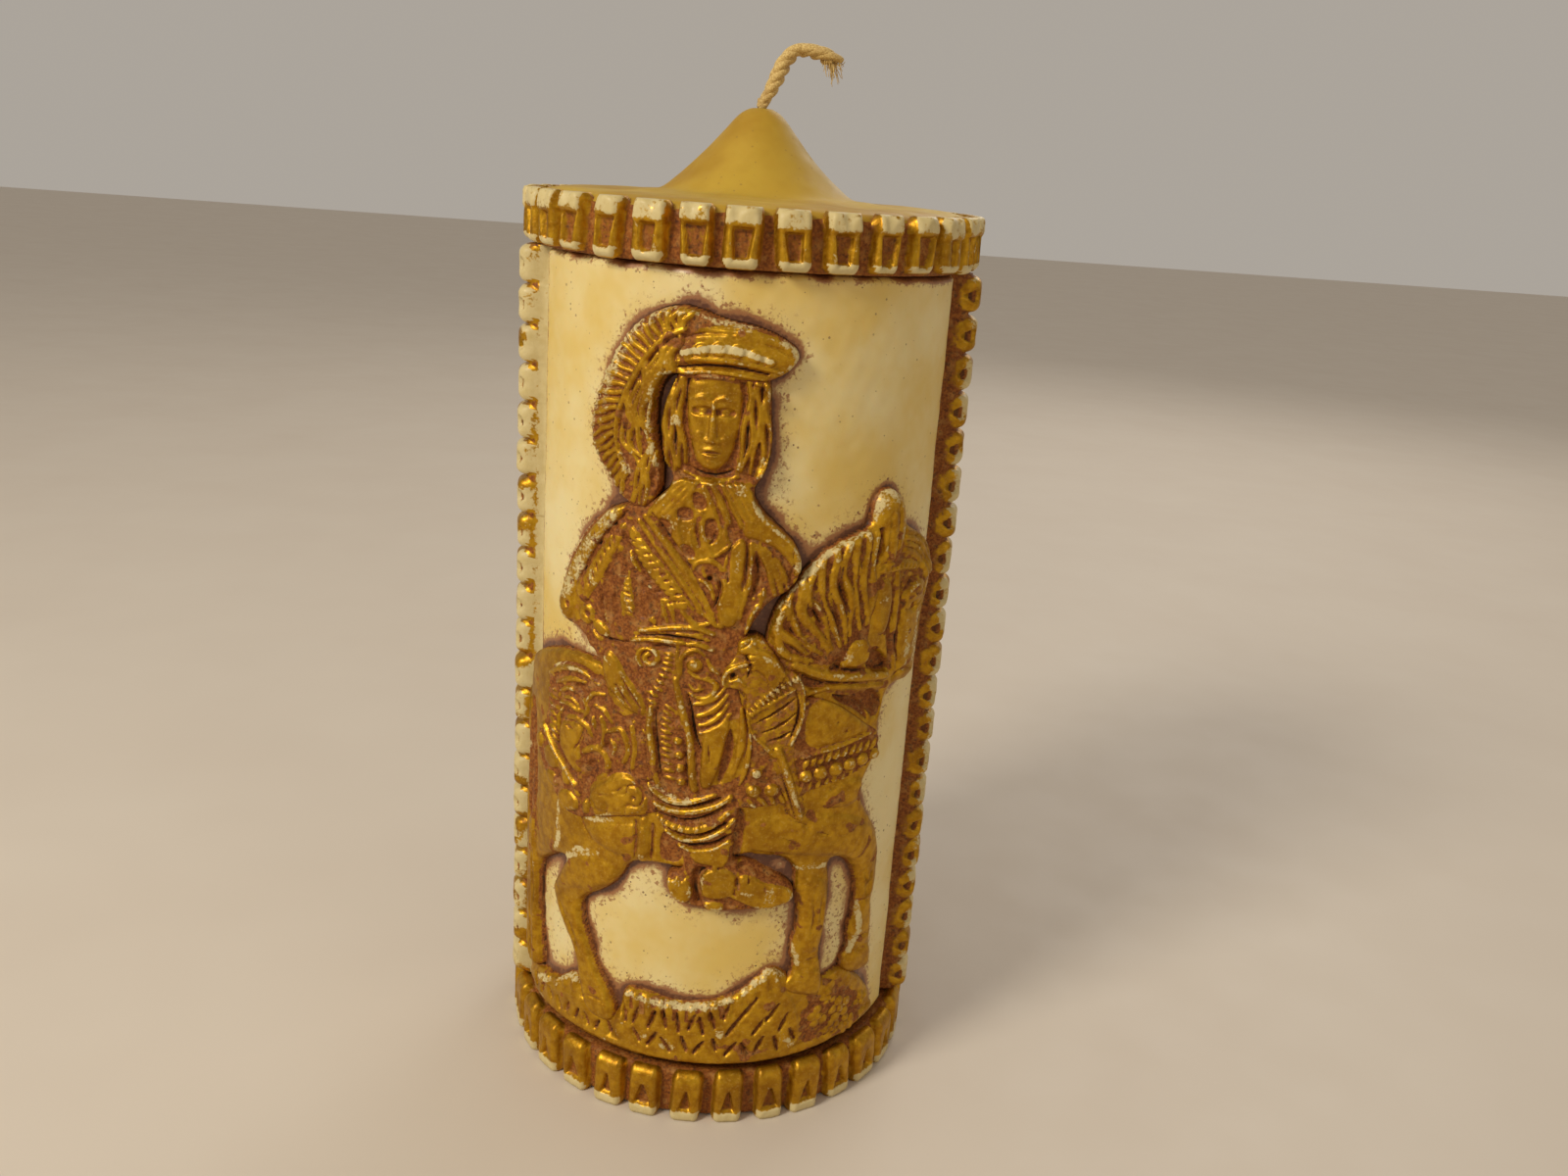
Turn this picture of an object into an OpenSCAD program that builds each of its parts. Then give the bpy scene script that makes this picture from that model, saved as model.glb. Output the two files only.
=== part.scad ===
// Carved-relief pillar candle, used as a unity candle: an ochre wax core with a poured crown,
// wrapped in two ivory wax relief panels that are framed by rows of gilt wax blocks.
// Units are millimetres. Origin: centre of the base, +Z up, the front panel faces -Y.

/* [Body] */
// Height from the base to the top of the upper border
body_h = 160; // [140:1:200]
// Radius of the flat ground of the relief panels
panel_r = 36.5; // [35:0.5:38]
// Thickness of the relief panels and of the border bands
shell_t = 3; // [2:0.5:4]
// Half of the angle that one relief panel covers
panel_half_angle = 68.5; // [60:0.5:69]

/* [Crown] */
// Height of the crown's point above the upper border
crown_h = 15.5; // [10:0.5:25]
// Radius of the rounded nose of the crown
nose_r = 5; // [4:0.5:5.5]

/* [Borders] */
// Number of blocks in the upper and in the lower border
border_blocks = 32; // [24:1:36]
// Height of the upper border
upper_border_h = 9.4; // [8:0.2:12]
// Height of the lower border
lower_border_h = 10; // [8:0.2:12]
// How far the border blocks stand out from the panels' ground
border_proud = 3.25; // [2:0.25:4]

/* [Columns] */
// Number of blocks in one side column
column_blocks = 21; // [16:1:24]
// Angle from the front to the middle of a column
column_angle = 79.5; // [78:0.5:82]
// Angle that one column block covers
column_block_angle = 9.6; // [8:0.2:10]
// How far the column blocks stand out from the panels' ground
column_proud = 3.9; // [2:0.1:4.5]

/* [Relief] */
// How far the turf stands out from the panels' ground
turf_proud = 1.6; // [1:0.1:2]
// How far the horse stands out from the panels' ground
horse_proud = 1.9; // [1:0.1:2.5]
// Thickness of the saddle cloth over the horse
cloth_t = 0.5; // [0.3:0.1:1]
// Thickness of the rider over the saddle cloth
rider_t = 0.5; // [0.3:0.1:1]
// Thickness of the plumed beret over the rider
beret_t = 0.3; // [0.2:0.1:1]
// Thickness of the sword over the rider
sword_t = 0.4; // [0.2:0.1:1]

/* [Wick] */
// Diameter of the braided cotton wick
wick_d = 2.2; // [1.6:0.1:3]
// How far the wick leans over where it leaves the crown, in degrees
wick_lean = 30; // [10:1:45]
// Length of the leaning stretch
wick_lean_l = 5.3; // [3:0.1:10]
// Angle from upright at which the folded end lies
wick_fold = 105; // [90:1:120]
// Length of the folded end
wick_end_l = 5.2; // [3:0.1:10]

/* [Hidden] */
$fn = 96;
core_r = panel_r - shell_t;
lip_r = panel_r + 0.4;              // the crown's wax runs out over the border band to here
lip_h = 1.6;
lip_top = body_h - 0.5;
band_r = panel_r + 0.9;             // outer radius of the two border bands
recess_r = panel_r - 1.1;           // the sunk strip beside each panel
panel_z0 = lower_border_h + 0.6;    // the panels end just above the lower border
band_gap = 0.6;                     // the lower border's band ends this far below its blocks
panel_z1 = body_h - upper_border_h;
block_fill = 0.82;                  // share of the pitch that a block takes
pocket_depth = 0.9;
crown_top = body_h + crown_h;
wick_bend_r = 3.6;                  // radius of the fold, along the middle of the wick
wick_lean_r = 7;                    // radius of the bend above the crown
cloth_proud = horse_proud + cloth_t;
rider_proud = cloth_proud + rider_t;
beret_proud = rider_proud + beret_t;
sword_proud = rider_proud + sword_t;
cut = 0.5;                          // how far a cutting shell reaches past what it cuts
drawing_depth = 60;                 // how far the drawings are cut through the shell

ochre = "#b59a45";
ivory = "#e6d9a4";
gilt = "#a8842a";
cotton = "#c9a665";

// The relief is drawn flat: each point is [distance round the panel from its middle, height].
turf_line = [
    [-43, 11], [-43, 17], [-36, 17.5], [-31, 19], [-27, 22], [-24, 19], [-22, 17], [-16, 18],
    [-14, 24], [-9, 23.5], [-3, 23.5], [2, 24.5], [5, 26.5], [8.5, 29], [11, 29.5], [14, 27],
    [19, 22.5], [22, 25], [28, 21.5], [33, 20.5], [35, 17.5], [36, 11]
];
horse_line = [
    [-41, 80], [-36, 82.5], [-30, 84], [-24, 84], [-12, 84], [2, 88], [7, 95], [9, 99.5],
    [12, 103.5], [15, 107], [19, 109.5], [23.5, 110.5], [24, 115], [26, 116.5], [29, 115],
    [30.5, 111.5], [30.5, 108], [34, 108], [37.5, 106], [40, 102.5], [40.5, 99], [39.5, 96],
    [38, 92], [38, 86], [37, 82], [35, 80.5], [32, 82], [28, 83], [27, 79], [28.5, 74],
    [28.5, 69], [26.5, 66], [25.5, 61], [28, 57.5], [30.5, 54], [32, 50], [32, 44], [31.5, 38],
    [32, 34], [32.5, 29], [33, 25], [31.5, 22], [26, 25.5], [24, 27.5], [27, 31], [26, 35],
    [27.5, 39], [28, 44], [26, 47.5], [23.5, 50], [19.5, 51], [20.5, 47], [20.5, 42], [20, 37],
    [19.5, 32], [20.5, 29], [21, 23.5], [17, 24], [12, 27], [15, 30.5], [14, 34], [15, 38],
    [14.5, 43], [14, 47], [13, 51.5], [8, 52.5], [5, 54], [0, 50.5], [-5, 50.5], [-14, 50],
    [-16, 46], [-19.5, 42], [-24.5, 39], [-24.5, 35], [-22.5, 30], [-20.5, 26], [-17.5, 22],
    [-15.5, 17.5], [-22.5, 16.8], [-24, 20], [-25, 24], [-26, 27], [-28, 31], [-30.5, 34],
    [-33, 37.5], [-31, 42], [-28, 46], [-32, 44.5], [-36, 42], [-38.5, 40], [-38.5, 32],
    [-37.5, 24], [-36.5, 17.2], [-42, 17.2], [-43, 30], [-43, 45], [-43, 60], [-43, 74]
];
saddle_cloth_line = [
    [-41, 76], [-37, 80.5], [-31, 82.5], [-26, 83], [-21, 82], [-8, 82], [2, 78], [13, 80],
    [17, 82], [21, 79.5], [25, 76], [28, 74.5], [28, 71], [27, 67.5], [22, 66], [16, 65.5],
    [9, 63.5], [2, 62.5], [-8, 61], [-13, 59.5], [-18, 58], [-24, 55.5], [-29, 56], [-33, 57.5],
    [-37, 61], [-40, 65.5]
];
rider_line = [
    [-19, 113], [-14, 113.5], [-10, 118], [-11.5, 124], [-11.5, 129], [-9.5, 134.5], [-8, 138],
    [2, 138], [3.5, 134.5], [3.8, 130], [4.5, 124], [3.5, 119.5], [1.5, 117], [3.5, 114],
    [7, 110.5], [10.5, 106.5], [11, 104.5], [9, 101], [5, 99], [2, 95], [1, 90], [1, 86],
    [2, 80], [4.5, 74], [4, 68], [2, 66], [3, 62], [2, 58], [3, 55], [1.5, 52], [4, 50.5],
    [9, 49], [13.5, 46.5], [12, 44], [6, 43.8], [-1, 43.5], [-6, 44.5], [-8.5, 48.5], [-5, 50.5],
    [-5, 54], [-9, 57], [-10.5, 61], [-10, 66], [-11, 73], [-13, 77], [-15.5, 76.5], [-19.5, 80],
    [-20.5, 85], [-24, 87], [-26, 90.5], [-29, 90], [-31, 92], [-31.5, 95], [-29, 101],
    [-26, 106.5], [-23, 110.5]
];
plumed_beret_line = [
    [-10.8, 134.8], [-8, 134.5], [-4, 135], [0, 134.5], [4, 134.5], [7.5, 137], [8, 139.5],
    [5, 141], [1, 142.8], [-3, 143.3], [-6, 144], [-9.5, 145], [-13.5, 144], [-17, 141],
    [-20, 137], [-22.5, 132], [-24.5, 127], [-24.5, 123], [-22.5, 120], [-20, 117],
    [-17, 115.5], [-13, 115.5], [-12, 121], [-14, 124.5], [-14.5, 130], [-12.5, 134.5]
];
sword_line = [
    [1, 93], [4.5, 93.5], [5, 90.5], [8.5, 86], [10.5, 87], [12.2, 84.5], [12.5, 79], [10.5, 73],
    [13.5, 62], [14, 60], [11.5, 60], [8.5, 68], [7.5, 73.5], [4, 77], [3.5, 80.5], [5, 84],
    [0.5, 86.5], [1, 89.5]
];

// One step of corner cutting, which rounds a closed outline.
function cut_corners(line) = [
    for (i = [0 : len(line) - 1])
        let (a = line[i], b = line[(i + 1) % len(line)])
            each [0.75 * a + 0.25 * b, 0.25 * a + 0.75 * b]
];

// Where a point of the flat drawing lands when it is seen from straight in front of the panel.
function seen_from_front(p) = [panel_r * sin(p[0] / panel_r * 180 / PI), p[1]];

module drawn(line) {
    polygon([for (p = cut_corners(line)) seen_from_front(p)]);
}

// A closed ring between two radii.
module ring(r_in, r_out, z0, z1) {
    translate([0, 0, z0])
        difference() {
            cylinder(r = r_out, h = z1 - z0);
            translate([0, 0, -1]) cylinder(r = r_in, h = z1 - z0 + 2);
        }
}

// A part of a ring, from angle a0 to a1, counted from the front (-Y) towards +X.
module ring_part(r_in, r_out, z0, z1, a0, a1) {
    translate([0, 0, z0])
        rotate([0, 0, a0 - 90])
            rotate_extrude(angle = a1 - a0)
                translate([r_in, 0]) square([r_out - r_in, z1 - z0]);
}

// A raised casting: its flat drawing, cut out of a shell that lies on the panel.
module casting(proud) {
    intersection() {
        ring(panel_r, panel_r + proud, panel_z0, panel_z1);
        rotate([90, 0, 0]) linear_extrude(height = drawing_depth) children();
    }
}

// The room that a casting takes, for cutting it out of the casting that lies over it.
module room_for(proud) {
    intersection() {
        ring(panel_r - cut, panel_r + proud, panel_z0 - cut, panel_z1 + cut);
        rotate([90, 0, 0]) linear_extrude(height = drawing_depth) children();
    }
}

module back() {
    rotate([0, 0, 180]) children();
}

// Core: a pillar with a lip over the upper border, a flared crown and a hole for the wick.
module wax_core() {
    wick_r = wick_d / 2;
    flare_r = 26;                    // where the flare meets the level rim
    nose_z = crown_top - nose_r;
    nose_end = 52;                   // angle at which the nose turns into the flare
    nose_edge = [nose_r * sin(nose_end), nose_z + nose_r * cos(nose_end)];
    flare_steps = 10;
    nose = [for (a = [14 : 6 : nose_end]) [nose_r * sin(a), nose_z + nose_r * cos(a)]];
    flare = [
        for (i = [1 : flare_steps])
            let (t = i / flare_steps)
                [nose_edge[0] + (flare_r - nose_edge[0]) * t,
                 lip_top + (nose_edge[1] - lip_top) * pow(1 - t, 1.75)]
    ];
    color(ochre)
        rotate_extrude()
            polygon(concat(
                [[wick_r, 0], [wick_r, nose[0][1]]],
                nose,
                flare,
                [[lip_r, lip_top], [lip_r, lip_top - lip_h], [core_r, lip_top - lip_h], [core_r, 0]]
            ));
}

// Wick: a straight stretch through the core, a bend, a leaning stretch and a folded end.
wick_sides = 12;
bore_top = crown_top - nose_r + nose_r * cos(14) + 0.1;
lean_start = [wick_lean_r * (1 - cos(wick_lean)), bore_top + wick_lean_r * sin(wick_lean)];
lean_end = lean_start + wick_lean_l * [sin(wick_lean), cos(wick_lean)];
fold_middle = lean_end + wick_bend_r * [cos(wick_lean), -sin(wick_lean)];
fold_end = fold_middle + wick_bend_r * [-cos(wick_fold), sin(wick_fold)];
wick_end = fold_end + wick_end_l * [sin(wick_fold), cos(wick_fold)];

// Each station of the wick is [x, z, lean].
function bend_stations(middle, radius, from, to, steps) = [
    for (i = [0 : steps])
        let (a = from + (to - from) * i / steps)
            [middle[0] - radius * cos(a), middle[1] + radius * sin(a), a]
];
wick_stations = concat(
    [[0, 0, 0]],
    bend_stations([wick_lean_r, bore_top], wick_lean_r, 0, wick_lean, 3),
    bend_stations(fold_middle, wick_bend_r, wick_lean, wick_fold, 6),
    [[wick_end[0], wick_end[1], wick_fold]]
);

function wick_circle(station) = [
    for (k = [0 : wick_sides - 1])
        let (a = k * 360 / wick_sides, r = wick_d / 2 * 0.98, across = r * cos(a))
            [station[0] - across * cos(station[2]), r * sin(a), station[1] + across * sin(station[2])]
];

module wick() {
    n = len(wick_stations);
    s = wick_sides;
    color(cotton)
        polyhedron(
            points = [for (station = wick_stations) each wick_circle(station)],
            faces = concat(
                [[for (k = [0 : s - 1]) k]],
                [for (i = [0 : n - 2], k = [0 : s - 1])
                    [i * s + k, (i + 1) * s + k, (i + 1) * s + (k + 1) % s, i * s + (k + 1) % s]],
                [[for (k = [s - 1 : -1 : 0]) (n - 1) * s + k]]
            )
        );
}

// A border: a band with a row of blocks round it, each with a pocket pressed into its face.
module border(z0, h, band_top) {
    pitch = 360 / border_blocks;
    out_r = panel_r + border_proud;
    in_r = lip_r + 0.1;
    color(gilt)
        difference() {
            union() {
                ring(core_r, band_r, z0, band_top);
                for (i = [0 : border_blocks - 1])
                    ring_part(in_r, out_r, z0, z0 + h, (i - block_fill / 2) * pitch, (i + block_fill / 2) * pitch);
            }
            for (i = [0 : border_blocks - 1])
                rotate([0, 0, i * pitch])
                    translate([0, -out_r + pocket_depth, z0 + h * 0.45])
                        rotate([90, 0, 0])
                            cylinder(r = 1.3, h = 5, $fn = 32);
        }
}

// A column: a sunk strip beside the panel, then a row of blocks, then the strip to the seam.
// side is 1 for the right and -1 for the left of a panel.
module column(side) {
    pitch = (panel_z1 - lower_border_h) / column_blocks;
    seam_angle = 90;
    half_block = column_block_angle / 2;
    first = side > 0 ? panel_half_angle : -seam_angle;
    last = side > 0 ? seam_angle : -panel_half_angle;
    middle = side * column_angle;
    color(gilt)
        difference() {
            union() {
                ring_part(core_r, recess_r, lower_border_h, panel_z1, first, last);
                for (i = [0 : column_blocks - 1])
                    ring_part(recess_r - 0.5, panel_r + column_proud,
                              lower_border_h + (i + 0.06) * pitch, lower_border_h + (i + 0.94) * pitch,
                              middle - half_block, middle + half_block);
            }
            for (i = [0 : column_blocks - 1])
                rotate([0, 0, middle])
                    translate([0, -panel_r - column_proud + pocket_depth, lower_border_h + (i + 0.5) * pitch])
                        rotate([90, 0, 0])
                            cylinder(r = 1, h = 5, $fn = 32);
        }
}

module panel() {
    color(ivory)
        ring_part(core_r, panel_r, panel_z0, panel_z1, -panel_half_angle, panel_half_angle);
}

module turf() {
    color(gilt) difference() {
        casting(turf_proud) drawn(turf_line);
        room_for(turf_proud + cut) drawn(horse_line);
    }
}

module horse() {
    color(gilt) casting(horse_proud) drawn(horse_line);
}

module saddle_cloth() {
    color(gilt) difference() {
        casting(cloth_proud) drawn(saddle_cloth_line);
        room_for(horse_proud) drawn(horse_line);
    }
}

module rider() {
    color(gilt) difference() {
        casting(rider_proud) drawn(rider_line);
        room_for(horse_proud) drawn(horse_line);
        room_for(cloth_proud) drawn(saddle_cloth_line);
    }
}

module plumed_beret() {
    color(gilt) difference() {
        casting(beret_proud) drawn(plumed_beret_line);
        room_for(rider_proud) drawn(rider_line);
    }
}

module sword() {
    color(gilt) difference() {
        casting(sword_proud) drawn(sword_line);
        room_for(horse_proud) drawn(horse_line);
        room_for(cloth_proud) drawn(saddle_cloth_line);
        room_for(rider_proud) drawn(rider_line);
    }
}

wax_core();
wick();
border(panel_z1, upper_border_h, lip_top - lip_h);  // upper_border
border(0, lower_border_h, lower_border_h - band_gap);  // lower_border
panel();  // front_panel
back() panel();  // back_panel
column(-1);  // front_left_column
column(1);  // front_right_column
back() column(1);  // back_left_column
back() column(-1);  // back_right_column
turf();  // front_turf
horse();  // front_horse
saddle_cloth();  // front_saddle_cloth
rider();  // front_rider
plumed_beret();  // front_plumed_beret
sword();  // front_sword
back() turf();  // back_turf
back() horse();  // back_horse
back() saddle_cloth();  // back_saddle_cloth
back() rider();  // back_rider
back() plumed_beret();  // back_plumed_beret
back() sword();  // back_sword
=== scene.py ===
# %% [markdown]
# # A pillar candle with a gilded relief
# This lesson builds a carved-looking pillar candle: an ochre core with a poured crown, two thin ivory
# wax panels, castings of a rider on a horse pressed onto them, and rows of gilt blocks as a frame.
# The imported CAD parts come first. They give every size, and the pieces made here take their places.

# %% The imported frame
import math

import bmesh
import bpy
import numpy as np
from mathutils import Matrix, Vector


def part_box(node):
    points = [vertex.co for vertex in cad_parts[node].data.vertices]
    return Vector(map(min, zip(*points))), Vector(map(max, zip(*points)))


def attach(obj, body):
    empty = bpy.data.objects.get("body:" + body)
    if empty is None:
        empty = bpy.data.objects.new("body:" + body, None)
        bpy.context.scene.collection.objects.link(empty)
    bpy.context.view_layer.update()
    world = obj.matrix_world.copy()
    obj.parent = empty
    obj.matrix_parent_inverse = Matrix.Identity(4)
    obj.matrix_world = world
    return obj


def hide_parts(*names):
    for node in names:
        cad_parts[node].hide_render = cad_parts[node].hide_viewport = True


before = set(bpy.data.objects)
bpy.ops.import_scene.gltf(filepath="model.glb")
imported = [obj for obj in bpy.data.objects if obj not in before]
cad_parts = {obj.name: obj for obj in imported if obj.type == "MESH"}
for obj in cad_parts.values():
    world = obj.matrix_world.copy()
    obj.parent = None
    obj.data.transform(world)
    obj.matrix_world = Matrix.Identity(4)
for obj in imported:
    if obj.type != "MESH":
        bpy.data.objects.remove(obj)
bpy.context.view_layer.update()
MM = 0.001

# %% [markdown]
# ## Sizes
# All shapes are worked out in millimetres, as a candle maker would measure them, and become metres
# only when they are written into a mesh. The radii come from the CAD boxes, so nothing can drift.

# %% Sizes in millimetres
def box_mm(node_name):
    low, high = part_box(node_name)
    return [v / MM for v in low], [v / MM for v in high]

UPPER_LOW, UPPER_HIGH = box_mm("upper_border")
PANEL_LOW, PANEL_HIGH = box_mm("front_panel")
GROUND_R = -PANEL_LOW[1]              # radius of the panels' flat ground
PANEL_Z = (PANEL_LOW[2], PANEL_HIGH[2])
PANEL_TURN = math.asin(min(1.0, PANEL_HIGH[0] / GROUND_R))
PANEL_HALF = GROUND_R * PANEL_TURN    # half of a panel's width, along the curve
print(f"ground radius {GROUND_R:.1f}, panel {PANEL_Z[0]:.1f} to {PANEL_Z[1]:.1f}, half width {PANEL_HALF:.1f}")

# %% [markdown]
# ## Camera, floor and light
# A product picture of a small object is taken from close by with a slightly wide lens, looking down a
# little. Three soft lamps and a pale surrounding are enough: the warm colours come from the wax.

# %% Camera
CAMERA_AT = Vector((0, -241.6, 165.7)) * MM
CAMERA_TURN, CAMERA_DIP, CAMERA_ROLL = 0.03996, 0.30363, 0.07227   # radians
forward = Vector((math.sin(CAMERA_TURN) * math.cos(CAMERA_DIP), math.cos(CAMERA_TURN) * math.cos(CAMERA_DIP),
    -math.sin(CAMERA_DIP)))
level = forward.cross(Vector((0, 0, 1))).normalized()
upright = level.cross(forward)
across = math.cos(CAMERA_ROLL) * level + math.sin(CAMERA_ROLL) * upright
upward = math.cos(CAMERA_ROLL) * upright - math.sin(CAMERA_ROLL) * level
camera_data = bpy.data.cameras.new("camera")
camera_data.lens, camera_data.sensor_width = 30.73, 36
camera_data.clip_start, camera_data.clip_end = 0.01, 20
camera = bpy.data.objects.new("camera", camera_data)
camera.matrix_world = (Matrix.Translation(CAMERA_AT) @ Matrix((across, upward, -forward)).transposed().to_4x4())
bpy.context.collection.objects.link(camera)
bpy.context.scene.camera = camera

# %% Lamps and surroundings
def soft_lamp(name, place, aim, size, watts, tint):
    data = bpy.data.lights.new(name, "AREA")
    data.shape, data.size, data.energy, data.color = "DISK", size, watts, tint
    lamp = bpy.data.objects.new(name, data)
    lamp.location = place
    lamp.rotation_euler = (Vector(aim) - Vector(place)).to_track_quat("-Z", "Y").to_euler()
    bpy.context.collection.objects.link(lamp)

soft_lamp("key_lamp", (-0.55, -0.5, 0.62), (0, 0, 0.09), 0.26, 5.2, (1, 0.93, 0.80))
soft_lamp("fill_lamp", (0.75, -0.75, 0.45), (0, 0, 0.08), 0.7, 0.7, (1, 0.80, 0.58))
soft_lamp("rim_lamp", (0.35, 0.7, 0.6), (0, 0, 0.1), 0.5, 1.6, (1, 0.95, 0.88))
world = bpy.data.worlds.new("studio")
world.use_nodes = True
surroundings = world.node_tree.nodes["Background"].inputs
surroundings["Color"].default_value = (1.0, 0.91, 0.80, 1)
surroundings["Strength"].default_value = 0.41
bpy.context.scene.world = world
bpy.context.scene.view_settings.view_transform = "Standard"

# %% [markdown]
# ## Node helpers
# Long node graphs read better as short formulas. Most of these helpers make one node, and accept
# either a number or another node's output for every input.

# %% Helpers for shader nodes
def add_node(tree, kind, **settings):
    made = tree.nodes.new(kind)
    for name, value in settings.items():
        setattr(made, name, value)
    return made

def put(tree, socket, value):
    if isinstance(value, bpy.types.NodeSocket):
        tree.links.new(value, socket)
    else:
        socket.default_value = value

def calc(tree, operation, a, b=0.0, clamp=False):
    made = add_node(tree, "ShaderNodeMath", operation=operation, use_clamp=clamp)
    put(tree, made.inputs[0], a)
    put(tree, made.inputs[1], b)
    return made.outputs[0]

def plus(tree, a, b, share):
    """a, and a share of b."""
    return calc(tree, "ADD", a, calc(tree, "MULTIPLY", b, share))

def weighed(tree, a, a_share, b, b_share):
    """A share of a, and a share of b."""
    return plus(tree, calc(tree, "MULTIPLY", a, a_share), b, b_share)

def set_values(node, **values):
    """Sets inputs to plain numbers. An underscore stands for a space in an input's name."""
    for name, value in values.items():
        node.inputs[name.replace("_", " ")].default_value = value

def ramp(tree, value, low, high, out_low=0.0, out_high=1.0):
    made = add_node(tree, "ShaderNodeMapRange", interpolation_type="SMOOTHSTEP")
    for socket, v in zip(made.inputs, (value, low, high, out_low, out_high)):
        put(tree, socket, v)
    return made.outputs[0]

def tint(tree, factor, a, b):
    made = add_node(tree, "ShaderNodeMix", data_type="RGBA")
    put(tree, made.inputs["Factor"], factor)
    put(tree, made.inputs[6], a)
    put(tree, made.inputs[7], b)
    return made.outputs[2]

def grainy(tree, place, size_mm, detail=3.0, rough=0.55):
    made = add_node(tree, "ShaderNodeTexNoise")
    put(tree, made.inputs["Vector"], place)
    put(tree, made.inputs["Scale"], 1.0 / size_mm)
    put(tree, made.inputs["Detail"], detail)
    put(tree, made.inputs["Roughness"], rough)
    return made.outputs[0]

def new_group(name, inputs, outputs):
    tree = bpy.data.node_groups.new(name, "ShaderNodeTree")
    for label, kind in inputs:
        tree.interface.new_socket(label, in_out="INPUT", socket_type=kind)
    for label, kind in outputs:
        tree.interface.new_socket(label, in_out="OUTPUT", socket_type=kind)
    return tree, tree.nodes.new("NodeGroupInput"), tree.nodes.new("NodeGroupOutput")

COLOUR, NUMBER, VECTOR = "NodeSocketColor", "NodeSocketFloat", "NodeSocketVector"

# %% [markdown]
# ## Wax that has aged
# Old wax isn't one colour. It yellows in clouds, picks up dust specks and keeps small dents. The group
# `aged_wax` gives any wax its clouds, specks and dents from two colours, in millimetre-sized patterns.

# %% Shader group: aged wax
def make_aged_wax():
    tree, ins, outs = new_group("aged_wax", [("Place", VECTOR), ("Pale", COLOUR), ("Yellowed", COLOUR),
        ("Specks", NUMBER)], [("Colour", COLOUR), ("Height", NUMBER)])
    place = ins.outputs["Place"]
    clouds = ramp(tree, grainy(tree, place, 22.0, 4.0), 0.35, 0.68)
    colour = tint(tree, clouds, ins.outputs["Pale"], ins.outputs["Yellowed"])
    warm = ramp(tree, grainy(tree, place, 5.0, 5.0), 0.5, 0.8, 0.0, 0.35)
    colour = tint(tree, warm, colour, ins.outputs["Yellowed"])
    cells = add_node(tree, "ShaderNodeTexVoronoi")
    put(tree, cells.inputs["Vector"], place)
    put(tree, cells.inputs["Scale"], 0.85)
    set_values(cells, Randomness=1.0)
    parts = add_node(tree, "ShaderNodeSeparateColor")
    put(tree, parts.inputs[0], cells.outputs["Color"])
    chosen = calc(tree, "GREATER_THAN", parts.outputs[0], 0.45)
    size = calc(tree, "MULTIPLY", parts.outputs[1], 0.2)
    dot = calc(tree, "LESS_THAN", cells.outputs["Distance"], size)
    gather = ramp(tree, grainy(tree, place, 9.0, 3.0), 0.36, 0.55)
    speck = calc(tree, "MULTIPLY", calc(tree, "MULTIPLY", dot, chosen), gather)
    speck = calc(tree, "MULTIPLY", speck, ins.outputs["Specks"], True)
    colour = tint(tree, speck, colour, (0.16, 0.075, 0.03, 1))
    put(tree, outs.inputs["Colour"], colour)
    dents = weighed(tree, grainy(tree, place, 3.0, 4.0), 0.35, grainy(tree, place, 12.0, 2.0), 0.65)
    put(tree, outs.inputs["Height"], dents)
    return tree

AGED_WAX = make_aged_wax()
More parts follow.
